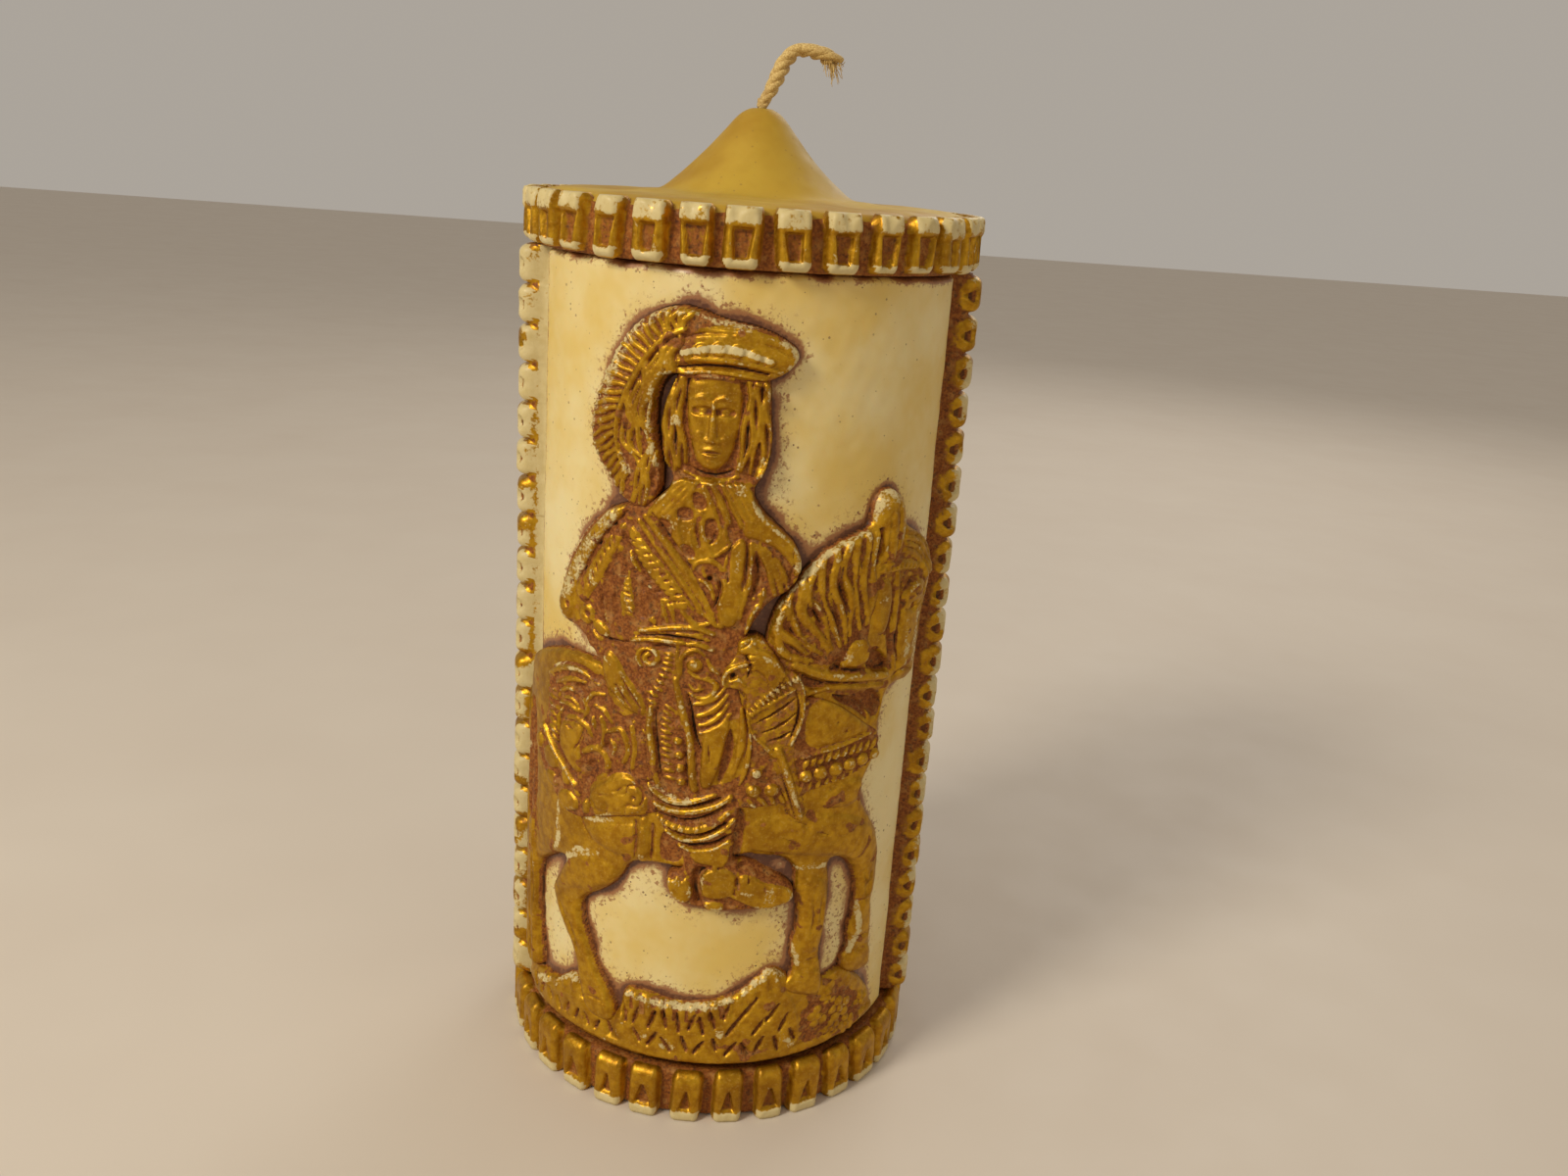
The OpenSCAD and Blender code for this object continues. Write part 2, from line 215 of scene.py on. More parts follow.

# %% [markdown]
# ## Antique gilding
# The castings are ivory wax. The maker washes a red-brown stain over them, wipes it off the high
# places, and rubs gold paste on what stands out. Years of handling then wear the sharpest edges back to
# the wax. So the group `antique_gold` needs to know, at each point, how hollow, how worn and how
# stained the surface is. The pieces carry those three numbers in a colour attribute called `tone`:
# red is wear, green is hollow and blue is stain. The hollow number paints both the stain left in the
# recesses and painted shade: it darkens hollows to brown, and the deepest ones to near black.

# %% Shader group: antique gold
def make_antique_gold():
    tree, ins, outs = new_group("antique_gold", [("Place", VECTOR), ("Wear", NUMBER), ("Hollow", NUMBER),
        ("Stain", NUMBER)], [("Colour", COLOUR), ("Metallic", NUMBER), ("Roughness", NUMBER), ("Height", NUMBER)])
    place = ins.outputs["Place"]
    fine, middle, broad = (grainy(tree, place, s, 4.0) for s in (0.45, 1.6, 7.0))
    gold = tint(tree, ramp(tree, middle, 0.35, 0.68), (0.55, 0.30, 0.014, 1), (0.38, 0.175, 0.006, 1))
    gold = tint(tree, ramp(tree, broad, 0.42, 0.7, 0, 0.55), gold, (0.25, 0.105, 0.006, 1))
    gold = tint(tree, ramp(tree, fine, 0.52, 0.72, 0, 0.3), gold, (0.72, 0.47, 0.11, 1))
    brown = tint(tree, ramp(tree, fine, 0.35, 0.68), (0.16, 0.042, 0.006, 1), (0.33, 0.115, 0.020, 1))
    brown = tint(tree, ramp(tree, middle, 0.50, 0.68, 0, 0.6), brown, (0.44, 0.22, 0.055, 1))
    brown = tint(tree, ramp(tree, grainy(tree, place, 0.8, 5.0), 0.56, 0.66, 0, 0.7), brown, (0.06, 0.018, 0.008, 1))
    ivory = tint(tree, middle, (0.72, 0.61, 0.34, 1), (0.52, 0.40, 0.15, 1))
    wobble = calc(tree, "SUBTRACT", weighed(tree, fine, 0.5, middle, 0.6), 0.55)
    stained = ramp(tree, calc(tree, "ADD", ins.outputs["Stain"], wobble), 0.38, 0.58)
    # Stain and painted shade: hollow places turn brown.
    sunk = ramp(tree, plus(tree, ins.outputs["Hollow"], wobble, 0.6), 0.30, 0.52)
    covered = calc(tree, "MAXIMUM", stained, sunk)
    # Painted shade: the deepest hollows turn near black.
    deepest_painted_shade = ramp(tree, plus(tree, ins.outputs["Hollow"], wobble, 0.4), 0.66, 1.0, 0, 0.9)
    worn = ramp(tree, plus(tree, ins.outputs["Wear"], wobble, 1.7), 0.50, 0.74)
    worn = calc(tree, "MULTIPLY", worn, calc(tree, "SUBTRACT", 1.0, sunk))
    colour = tint(tree, covered, gold, brown)
    colour = tint(tree, deepest_painted_shade, colour, (0.022, 0.009, 0.005, 1))
    colour = tint(tree, worn, colour, ivory)
    put(tree, outs.inputs["Colour"], colour)
    bare = calc(tree, "MAXIMUM", covered, worn)
    put(tree, outs.inputs["Metallic"], calc(tree, "MULTIPLY", calc(tree, "SUBTRACT", 1.0, bare), 0.8))
    rough = ramp(tree, fine, 0.3, 0.7, 0.36, 0.50)
    put(tree, outs.inputs["Roughness"], calc(tree, "ADD", rough, calc(tree, "MULTIPLY", covered, 0.3), True))
    put(tree, outs.inputs["Height"], weighed(tree, fine, 0.45, middle, 0.55))
    return tree

ANTIQUE_GOLD = make_antique_gold()

# %% [markdown]
# ## The finishes
# Each material reads its place in millimetres from the object's own coordinates, so no pattern slides.
# Wax lets some light in, which softens its shading, so both bare waxes get a little subsurface.

# %% Materials
def start_material(name):
    material = bpy.data.materials.new(name)
    material.use_nodes = True
    tree = material.node_tree
    shader = tree.nodes["Principled BSDF"]
    own = add_node(tree, "ShaderNodeTexCoord")
    in_mm = add_node(tree, "ShaderNodeVectorMath", operation="SCALE")
    put(tree, in_mm.inputs[0], own.outputs["Object"])
    set_values(in_mm, Scale=1 / MM)
    return material, tree, shader, in_mm.outputs[0]

def use_group(tree, group, **values):
    made = add_node(tree, "ShaderNodeGroup", node_tree=group)
    for name, value in values.items():
        put(tree, made.inputs[name], value)
    return made

def add_bump(tree, shader, height, strength, distance_mm):
    bump = add_node(tree, "ShaderNodeBump")
    set_values(bump, Strength=strength, Distance=distance_mm * MM)
    put(tree, bump.inputs["Height"], height)
    put(tree, shader.inputs["Normal"], bump.outputs[0])

def tone_of(tree):
    made = add_node(tree, "ShaderNodeAttribute", attribute_name="tone")
    parts = add_node(tree, "ShaderNodeSeparateColor")
    put(tree, parts.inputs[0], made.outputs["Color"])
    return parts.outputs

def gilt_material(name):
    material, tree, shader, place = start_material(name)
    tone = tone_of(tree)
    gold = use_group(tree, ANTIQUE_GOLD, Place=place, Wear=tone[0], Hollow=tone[1], Stain=tone[2])
    put(tree, shader.inputs["Base Color"], gold.outputs["Colour"])
    put(tree, shader.inputs["Metallic"], gold.outputs["Metallic"])
    put(tree, shader.inputs["Roughness"], gold.outputs["Roughness"])
    set_values(shader, Specular_IOR_Level=0.2, Coat_Weight=0.06, Coat_Roughness=0.3)
    add_bump(tree, shader, gold.outputs["Height"], 0.35, 0.25)
    return material

GILT = gilt_material("antique_gold_on_wax")

def ivory_material():
    material, tree, shader, place = start_material("stained_ivory_wax")
    tone = tone_of(tree)
    wax = use_group(tree, AGED_WAX, Place=place, Pale=(0.78, 0.655, 0.33, 1), Yellowed=(0.70, 0.50, 0.13, 1),
        Specks=plus(tree, 0.6, tone[2], 3.0))
    fine = grainy(tree, place, 0.5, 4.0)
    middle = grainy(tree, place, 2.2, 4.0)
    wobble = calc(tree, "SUBTRACT", weighed(tree, fine, 0.7, middle, 0.5), 0.6)
    amount = plus(tree, tone[2], wobble, 0.8)
    wash = ramp(tree, amount, 0.26, 0.62, 0, 0.92)
    crumbs = ramp(tree, grainy(tree, place, 0.75, 4.0), 0.54, 0.60)
    splashed = calc(tree, "MULTIPLY", crumbs, ramp(tree, plus(tree, tone[2], wobble, 0.6), 0.06, 0.3))
    wash = calc(tree, "MAXIMUM", wash, calc(tree, "MULTIPLY", splashed, 0.85))
    colour = tint(tree, wash, wax.outputs["Colour"], (0.29, 0.10, 0.03, 1))
    colour = tint(tree, ramp(tree, amount, 0.70, 1.05), colour, (0.12, 0.036, 0.012, 1))
    put(tree, shader.inputs["Base Color"], colour)
    put(tree, shader.inputs["Roughness"], ramp(tree, middle, 0.3, 0.7, 0.36, 0.5))
    set_values(shader, Subsurface_Weight=0.25, Subsurface_Radius=(0.004, 0.0026, 0.0012), Subsurface_Scale=0.5,
        Coat_Weight=0.15, Coat_Roughness=0.35)
    add_bump(tree, shader, wax.outputs["Height"], 0.25, 0.3)
    return material

IVORY = ivory_material()

def crown_material():
    material, tree, shader, place = start_material("ochre_crown_wax")
    wax = use_group(tree, AGED_WAX, Place=place, Pale=(0.52, 0.335, 0.034, 1), Yellowed=(0.38, 0.21, 0.010, 1),
        Specks=0.35)
    put(tree, shader.inputs["Base Color"], wax.outputs["Colour"])
    put(tree, shader.inputs["Roughness"], ramp(tree, grainy(tree, place, 4.0), 0.3, 0.7, 0.48, 0.62))
    set_values(shader, Subsurface_Weight=0.3, Subsurface_Radius=(0.005, 0.003, 0.001), Subsurface_Scale=0.5,
        Specular_IOR_Level=0.3, Coat_Weight=0.03, Coat_Roughness=0.4)
    add_bump(tree, shader, wax.outputs["Height"], 0.3, 0.5)
    return material

CROWN_WAX = crown_material()

def wick_material():
    material, tree, shader, place = start_material("waxed_cotton")
    fibre = grainy(tree, place, 0.25, 4.0)
    colour = tint(tree, ramp(tree, fibre, 0.35, 0.65), (0.46, 0.29, 0.08, 1), (0.74, 0.54, 0.20, 1))
    colour = tint(tree, ramp(tree, grainy(tree, place, 2.5), 0.5, 0.7, 0, 0.5), colour, (0.36, 0.20, 0.06, 1))
    put(tree, shader.inputs["Base Color"], colour)
    put(tree, shader.inputs["Roughness"], ramp(tree, fibre, 0.3, 0.7, 0.6, 0.85))
    set_values(shader, Sheen_Weight=0.25, Sheen_Roughness=0.5)
    add_bump(tree, shader, fibre, 0.6, 0.15)
    return material

WICK_COTTON = wick_material()

def floor_material():
    material, tree, shader, place = start_material("pale_table")
    colour = tint(tree, grainy(tree, place, 60.0, 2.0), (0.70, 0.63, 0.54, 1), (0.65, 0.57, 0.48, 1))
    put(tree, shader.inputs["Base Color"], colour)
    put(tree, shader.inputs["Roughness"], ramp(tree, grainy(tree, place, 20.0), 0.3, 0.7, 0.55, 0.65))
    return material

# %% The floor
bm = bmesh.new()
bmesh.ops.create_grid(bm, x_segments=2, y_segments=2, size=3)
floor_mesh = bpy.data.meshes.new("table_top")
bm.to_mesh(floor_mesh)
bm.free()
floor = bpy.data.objects.new("table_top", floor_mesh)
floor_mesh.materials.append(floor_material())
bpy.context.collection.objects.link(floor)

# %% [markdown]
# ## From a flat sheet to a piece
# Nearly every piece of this candle is a sheet with a relief on it, bent round the core. Panels,
# columns and castings are made in the same three moves: cut a flat grid to its outline, thicken it,
# then bend it and press the relief into its front. The two borders skip the thickening, since their
# sheets close into rings. The bend is one pass over the vertices.

# %% Flat sheets that get bent
def cell_grid(columns, rows):
    """A flat grid. Vertex x and y count cells."""
    bm = bmesh.new()
    bmesh.ops.create_grid(bm, x_segments=columns, y_segments=rows, size=1)
    bmesh.ops.transform(bm, verts=bm.verts, matrix=Matrix.Diagonal((columns / 2, rows / 2, 1, 1)))
    bmesh.ops.translate(bm, verts=bm.verts, vec=(columns / 2, rows / 2, 0))
    return bm

def flat_sheet(columns, rows, keep=None):
    """A thickened grid, without the cells that keep says False for. z is 0 on the back and 1 on the front."""
    bm = cell_grid(columns, rows)
    if keep is not None:
        lost = [f for f in bm.faces if not keep[int(f.calc_center_median().y), int(f.calc_center_median().x)]]
        bmesh.ops.delete(bm, geom=lost, context="FACES")
    made = bmesh.ops.extrude_face_region(bm, geom=bm.faces[:], use_keep_orig=True)
    front = [g for g in made["geom"] if isinstance(g, bmesh.types.BMVert)]
    bmesh.ops.translate(bm, verts=front, vec=(0, 0, 1))
    bmesh.ops.recalc_face_normals(bm, faces=bm.faces)
    return bm

def finish_mesh(name, bm, bend, material, node_names, merge_mm=0.0):
    """Bends a flat sheet with bend(column, row, front), which gives places in mm and the tone."""
    mesh = bpy.data.meshes.new(name)
    bm.to_mesh(mesh)
    bm.free()
    flat = np.empty(len(mesh.vertices) * 3, dtype=np.float32)
    mesh.vertices.foreach_get("co", flat)
    flat = flat.reshape(-1, 3)
    places, tone = bend(flat[:, 0].astype(float), flat[:, 1].astype(float), flat[:, 2] > 0.5)
    mesh.vertices.foreach_set("co", (places * MM).astype(np.float32).ravel())
    if tone is not None:
        layer = mesh.attributes.new("tone", "FLOAT_COLOR", "POINT")
        layer.data.foreach_set("color", tone.astype(np.float32).ravel())
    if merge_mm:
        bm = bmesh.new()
        bm.from_mesh(mesh)
        bmesh.ops.remove_doubles(bm, verts=bm.verts, dist=merge_mm * MM)
        bmesh.ops.recalc_face_normals(bm, faces=bm.faces)
        bm.to_mesh(mesh)
        bm.free()
    return place_piece(name, mesh, material, node_names)

def place_piece(name, mesh, material, node_names):
    mesh.polygons.foreach_set("use_smooth", np.ones(len(mesh.polygons), dtype=bool))
    mesh.update()
    mesh.materials.append(material)
    piece = bpy.data.objects.new(name, mesh)
    bpy.context.collection.objects.link(piece)
    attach(piece, "root")
    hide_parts(*node_names)
    print(f"{name}: {len(mesh.vertices)} vertices, {len(mesh.polygons)} faces")
    return piece

def on_cylinder(along, height, radius):
    """Places on the candle's side: along is the distance round from the front, in mm at the ground."""
    turn = along / GROUND_R
    return np.stack([radius * np.sin(turn), -radius * np.cos(turn), height], axis=-1)

# The hollow number paints both the stain left in recesses and painted shade there.
def tones(wear, hollow, stain):
    values = [np.clip(v, 0, 1) for v in (wear, hollow, stain)]
    return np.stack(values + [np.ones_like(values[0])], axis=-1)

def smooth_step(t):
    t = np.clip(t, 0, 1)
    return t * t * (3 - 2 * t)

def dome(t):
    """0 at an edge, 1 from one shoulder width inwards, with a quarter-round between."""
    t = np.clip(t, 0, 1)
    return np.sqrt(1 - (1 - t) ** 2)

# %% Seeded unevenness
def lumps(shape_x, shape_y, period, seed):
    """Smooth random unevenness between -1 and 1, at the given positions in mm."""
    source = np.random.default_rng(seed)
    total = np.zeros(np.broadcast(shape_x, shape_y).shape)
    for _ in range(6):
        turn, phase, scale = source.uniform(0, 2 * math.pi), source.uniform(0, 2 * math.pi), source.uniform(0.7, 1.5)
        total += np.sin((np.cos(turn) * shape_x + np.sin(turn) * shape_y) * 2 * math.pi * scale / period + phase)
    return total / 6

# %% [markdown]
# ## The core and its crown
# The core is a plain dipped pillar. When its top is poured the wax climbs the wick and sets as a soft
# cone that flares out over the rim. A lathe shape describes it best, so one profile is spun round. The
# hand-poured look comes from moving the spun points a few tenths of a millimetre.

# %% Core and crown
CORE_HIGH = box_mm("wax_core")[1]
CROWN_TIP = CORE_HIGH[2]
RIM_Z = UPPER_HIGH[2] - 0.5
LIP_R = CORE_HIGH[0]
WICK_R = 1.1
CROWN_PROFILE = [   # radius and height, from the wick's hole down to the base
    *((r, CROWN_TIP - drop) for r, drop in ((WICK_R, 2.4), (WICK_R, 0.35), (2.0, 0.5), (3.3, 1.2), (4.5, 2.3),
        (5.6, 3.6), (7.0, 5.2), (9.0, 7.5), (11.5, 10.1), (14.0, 12.4), (16.6, 14.3))),
    *((r, RIM_Z + rise) for r, rise in ((19.5, 1.35), (24.0, 0.95), (29.0, 0.9), (33.4, 0.75), (36.0, 0.2),
        (LIP_R - 0.1, -0.6), (LIP_R, -1.2), (LIP_R - 0.3, -1.6), (33.5, -1.6))),
    (33.4, 80.0), (33.3, 0.6), (32.6, 0.0), (WICK_R, 0.0)]

def rounded_line(points, per_step=4):
    """A smooth line through the points, with per_step stretches between two of them."""
    points = np.array(points, dtype=float)
    padded = np.vstack([2 * points[0] - points[1], points, 2 * points[-1] - points[-2]])
    out = []
    for a, b, c, d in zip(padded[:-3], padded[1:-2], padded[2:-1], padded[3:]):
        for t in np.arange(per_step) / per_step:
            out.append(0.5 * (2 * b + (c - a) * t + (2 * a - 5 * b + 4 * c - d) * t ** 2
                              + (3 * b - a - 3 * c + d) * t ** 3))
    out.append(points[-1])
    return np.array(out)

def make_core():
    top = [tuple(p) for p in rounded_line(CROWN_PROFILE[1:16], 4)]
    profile = CROWN_PROFILE[:1] + top + CROWN_PROFILE[16:]
    bm = bmesh.new()
    corners = [bm.verts.new((r, 0, z)) for r, z in profile]
    edges = [bm.edges.new(pair) for pair in zip(corners[:-1], corners[1:])]
    bmesh.ops.spin(bm, geom=corners + edges, cent=(0, 0, 0), axis=(0, 0, 1), angle=2 * math.pi, steps=160,
        use_merge=True)
    bottom = [e for e in bm.edges if e.is_boundary and e.calc_length() < 0.2]
    low_ring = [e for e in bottom if max(v.co.z for v in e.verts) < 1]
    high_ring = [e for e in bottom if min(v.co.z for v in e.verts) > 1]
    bmesh.ops.bridge_loops(bm, edges=low_ring + high_ring)
    bmesh.ops.recalc_face_normals(bm, faces=bm.faces)
    for v in bm.verts:
        x, y, z = v.co
        if z > RIM_Z - 2:
            r = math.hypot(x, y)
            swell = smooth_step((r - 2.5) / 4)
            v.co.z += 0.22 * float(swell) * float(lumps(x, y, 17.0, 3)) * (1 if r < 35 else 0.3)
            lean = 0.35 * float(smooth_step((z - RIM_Z) / 8)) * float(swell)
            v.co.x += lean * float(lumps(y, z, 14.0, 5))
            v.co.y += lean * float(lumps(x, z, 14.0, 7))
    bmesh.ops.scale(bm, vec=(MM, MM, MM), verts=bm.verts)
    mesh = bpy.data.meshes.new("poured_core")
    bm.to_mesh(mesh)
    bm.free()
    return place_piece("poured_core", mesh, CROWN_WAX, ["wax_core"])

make_core()

# %% [markdown]
# ## The wick
# A pillar candle's wick is a soft cotton cord of three plies. Near the wax it is stiff and thin, because
# it drank wax while the crown set. Further up the plies open, fold over and fray. Each ply is a tube
# round a path that winds about the wick's middle line, and the frayed end is a bunch of fine tubes.

# %% Middle line of the wick
TIP = CROWN_TIP
WICK_LINE = rounded_line([(0, 0, 0.3), (0, 0, 60), (0, 0, 120), (0, 0, TIP - 4), (0.1, 0, TIP), (1.2, -0.1, TIP + 2.3),
    (2.2, 0, TIP + 4.5), (3.2, 0.1, TIP + 6.9), (4.5, 0, TIP + 8.6), (5.9, 0, TIP + 9.3), (7.8, -0.2, TIP + 9.25),
    (9.6, -0.2, TIP + 8.9), (11.0, 0.1, TIP + 8.3), (12.0, 0.3, TIP + 7.9)], 12)

def tube(line, widths, sides, flat_side=1.0):
    """A closed tube along a line of points: a flat sheet rolled round it. Returns a bmesh in mm."""
    rows = len(line) - 1
    bm = bmesh.new()
    bmesh.ops.create_grid(bm, x_segments=sides, y_segments=rows, size=1)
    heading = np.gradient(line, axis=0)
    heading /= np.linalg.norm(heading, axis=1)[:, None]
    side = np.cross(heading, (0, 1, 0.001))
    side /= np.linalg.norm(side, axis=1)[:, None]
    out = np.cross(side, heading)
    for v in bm.verts:
        i = min(rows, max(0, round((v.co.y + 1) / 2 * rows)))
        turn = (v.co.x + 1) * math.pi
        v.co = Vector(line[i] + widths[i] * (math.cos(turn) * side[i] + flat_side * math.sin(turn) * out[i]))
    bmesh.ops.remove_doubles(bm, verts=bm.verts, dist=1e-4)
    bmesh.ops.holes_fill(bm, edges=bm.edges, sides=0)
    bmesh.ops.recalc_face_normals(bm, faces=bm.faces)
    return bm

def make_wick():
    whole = bpy.data.meshes.new("twisted_wick")
    joined = bmesh.new()
    steps = np.concatenate([[0], np.cumsum(np.linalg.norm(np.diff(WICK_LINE, axis=0), axis=1))])
    free = np.clip((steps - TIP) / (steps[-1] - TIP), 0, 1)           # 0 at the wax, 1 at the end
    opening = smooth_step(free / 0.45)
    for ply in range(3):
        wind = ply * 2 * math.pi / 3 + np.maximum(steps - TIP + 6, 0) * 1.55 - free * 9
        spread = 0.33 + 0.42 * opening + 0.18 * smooth_step((free - 0.8) / 0.2)
        spread *= smooth_step((steps - TIP + 8) / 8) * 0.9 + 0.1
        line = WICK_LINE + np.stack([np.cos(wind) * spread, np.sin(wind) * spread,
            np.cos(wind + 1.2) * spread * opening * 0.5], axis=-1)
        widths = 0.52 + 0.24 * opening - 0.2 * smooth_step((free - 0.9) / 0.1)
        part = tube(line, widths, 10)
        part.to_mesh(whole)
        joined.from_mesh(whole)
        part.free()
    source = np.random.default_rng(11)
    for _ in range(46):
        start = WICK_LINE[-1 - source.integers(0, 22)] + source.uniform(-0.7, 0.7, 3)
        drop = source.uniform(0.6, 3.6) if source.random() < 0.75 else -source.uniform(0.2, 0.8)
        reach = source.uniform(-0.3, 1.6)
        bow = source.uniform(-0.8, 0.8, 3)
        t = np.linspace(0, 1, 9)[:, None]
        end = start + np.array([reach, source.uniform(-0.7, 0.7), -drop])
        line = start + (end - start) * t + bow * (t * (1 - t)) * 1.6
        line[:, 2] = np.minimum(line[:, 2], box_mm("wick")[1][2] + 2)
        part = tube(line, np.linspace(0.12, 0.05, 9), 5)
        part.to_mesh(whole)
        joined.from_mesh(whole)
        part.free()
    bmesh.ops.scale(joined, vec=(MM, MM, MM), verts=joined.verts)
    joined.to_mesh(whole)
    joined.free()
    return place_piece("twisted_wick", whole, WICK_COTTON, ["wick"])

make_wick()

# %% [markdown]
# ## The two borders
# Each border is one cast strip with 32 pillow-shaped blocks. It could be 32 separate blocks, but on the
# real candle they run together in one piece of wax. So a sheet is bent round a profile, and the blocks
# swell out of it along the profile's own direction. That rounds their tops over the rim.

# %% Profiles of the borders
BLOCKS = 32
BLOCK_R = 38.5               # widths of blocks are measured at this radius
BLOCK_PITCH = 2 * math.pi * BLOCK_R / BLOCKS
BORDER_CELLS = 30            # cells round each block
BORDER_STEP = 0.27           # size of a cell up the profile
BORDER_INNER_R = 33.7
UPPER_PROFILE = [(r, UPPER_LOW[2] + z) for r, z in ((36.9, 0.2), (37.3, 1.2), (37.35, 3.2), (37.35, 5.2), (37.3, 6.8),
    (37.0, 7.9), (36.4, 8.5), (35.6, 8.6))]
LOWER_PROFILE = [(36.2, 0.5), (37.2, 0.4), (37.4, 1.4), (37.4, 3.4), (37.4, 5.4), (37.4, 7.4), (37.2, 8.8), (36.3, 9.3)]

def border_relief(x, y, pick, height, tent, seed):
    """How far a border stands out at x mm from a block's middle and y mm up it, and its tone."""
    source = np.random.default_rng(seed)
    wide = (2.95 if tent else 2.75) + source.uniform(-0.3, 0.35, BLOCKS)
    tall = height / 2 - 0.35 + source.uniform(-0.3, 0.15, BLOCKS)
    shift = source.uniform(-0.35, 0.35, BLOCKS)
    skew = source.uniform(-0.09, 0.09, BLOCKS)
    size = source.uniform(0.75, 1.15, BLOCKS)
    out = source.uniform(-0.22, 0.0, BLOCKS)
    x = x - shift[pick] - skew[pick] * y
    near = np.minimum(wide[pick] - np.abs(x), tall[pick] - np.abs(y - 0.1 * np.sin(pick * 5.0)))
    corner = np.hypot(np.maximum(np.abs(x) - wide[pick] + 1.3, 0), np.maximum(np.abs(y) - tall[pick] + 1.3, 0))
    near = np.minimum(near, 1.3 - corner)
    rise = (2.25 + out[pick]) * dome(near / 1.25)
    if tent:
        half = (0.3 + 1.35 * np.clip((2.0 - y) / 4.4, 0, 1)) * size[pick]
        inside = np.minimum(half - np.abs(x), np.minimum(y + 2.6, 2.0 - y))
    else:
        half = (1.5 + 0.12 * y) * size[pick]
        inside = np.minimum(half - np.abs(x), np.minimum(y + 2.9 + 0.3 * size[pick], 1.45 * size[pick] - y))
    pit = smooth_step((inside + 0.1) / 0.55)
    rise = rise - 1.15 * pit * (near > 0)
    cap = smooth_step((y - (1.3 * size[pick] if not tent else 5)) / 0.6) * (near > 0)
    rise = rise + (0.25 + 0.3 * size[pick]) * cap * (1 + 0.5 * np.sin(x * 1.7 + pick * 2.0))
    # Stain and painted shade: darker at the blocks' edges, in the gaps between them and in their pits.
    hollow = np.maximum(0.56 * smooth_step((0.5 - near) / 0.8), 0.5 * pit)
    return rise, hollow, near, cap, pit

def make_border(name, node_name, points, tent, turn0, seed):
    outer = rounded_line(points, 5)
    foot, top = points[0][1], points[-1][1]
    inner = np.array([(BORDER_INNER_R, z) for z in (top, (foot + top) / 2, foot)])
    lengths = np.concatenate([[0], np.cumsum(np.linalg.norm(np.diff(outer, axis=0), axis=1))])
    height = lengths[-1]
    fine = np.linspace(0, height, int(height / BORDER_STEP))
    outer = np.stack([np.interp(fine, lengths, outer[:, i]) for i in (0, 1)], axis=-1)
    section = np.vstack([outer, inner, outer[:1]])
    heading = np.gradient(outer, axis=0)
    normal = np.stack([heading[:, 1], -heading[:, 0]], axis=-1)
    normal /= np.linalg.norm(normal, axis=1)[:, None]
    rows, columns = len(section) - 1, BLOCKS * BORDER_CELLS

    def bend(column, row, front):
        column = np.rint(column).astype(int) % columns   # the last column and row are the first ones again
        row = np.rint(row).astype(int) % rows
        turn = turn0 + column * 2 * math.pi / columns
        block = (column + BORDER_CELLS // 2) // BORDER_CELLS % BLOCKS
        x = ((column + BORDER_CELLS // 2) % BORDER_CELLS / BORDER_CELLS - 0.5) * BLOCK_PITCH
        outside = row < len(outer)
        r, z = section[row, 0], section[row, 1]
        up = np.where(outside, fine[np.minimum(row, len(fine) - 1)] - height / 2, -99)
        rise, hollow, near, cap, pit = border_relief(x, up, block, height, tent, seed)
        rise = np.where(outside, rise, 0)
        away = normal[np.minimum(row, len(outer) - 1)]
        along = turn * BLOCK_R
        rise = rise * (1 + 0.035 * lumps(along, z, 5.0, seed + 1)) + outside * 0.06 * lumps(along, z, 2.1, seed + 2)
        r = r + away[:, 0] * rise
        z = z + away[:, 1] * rise
        r = np.minimum(r, UPPER_HIGH[0] - 0.02)
        z = np.clip(z, 0.0, UPPER_HIGH[2] - 0.02)
        rim = smooth_step((rise - 1.75) / 0.4)
        chips = smooth_step(lumps(along, z, 3.4, seed + 3) * 1.4 + 0.2)
        if tent:
            wear = np.maximum(0.95 * smooth_step((-up - 1.9) / 1.0), 0.3 * rim * chips)
        else:
            wear = np.maximum(1.0 * cap * (0.75 + 0.25 * chips), 0.95 * smooth_step((-up - 2.5) / 0.6))
            wear = np.maximum(wear, 0.62 * rim * (0.35 + 0.65 * chips))
        wear = wear * (near > 0.3) * (1 - pit)
        stain = 0.25 * (near < 0.5) + 0.12 * lumps(along, z, 11.0, seed + 4)
        places = np.stack([r * np.sin(turn), -r * np.cos(turn), z], axis=-1)
        return places, tones(wear, hollow, stain)

    return finish_mesh(name, cell_grid(columns, rows), bend, GILT, [node_name], merge_mm=0.004)

make_border("upper_block_border", "upper_border", UPPER_PROFILE, False, math.radians(-2), 21)
make_border("lower_block_border", "lower_border", LOWER_PROFILE, True, math.radians(-4.5), 22)

# %% [markdown]
# ## The four columns
# Beside each panel runs a sunk strip and then a column of rounded blocks, each with a hole punched in
# its face. Where the front and back halves of the wrap meet, two such strips lie side by side.

# %% Columns
COLUMN_LOW, COLUMN_HIGH = box_mm("front_right_column")
COLUMN_BLOCKS = 21
COLUMN_PITCH = (COLUMN_HIGH[2] - COLUMN_LOW[2]) / COLUMN_BLOCKS
COLUMN_CELL = 0.28
STRIP_R = GROUND_R - 1.1
COLUMN_START, COLUMN_MIDDLE, COLUMN_END = math.radians(68.6), math.radians(79.5), math.radians(89.95)

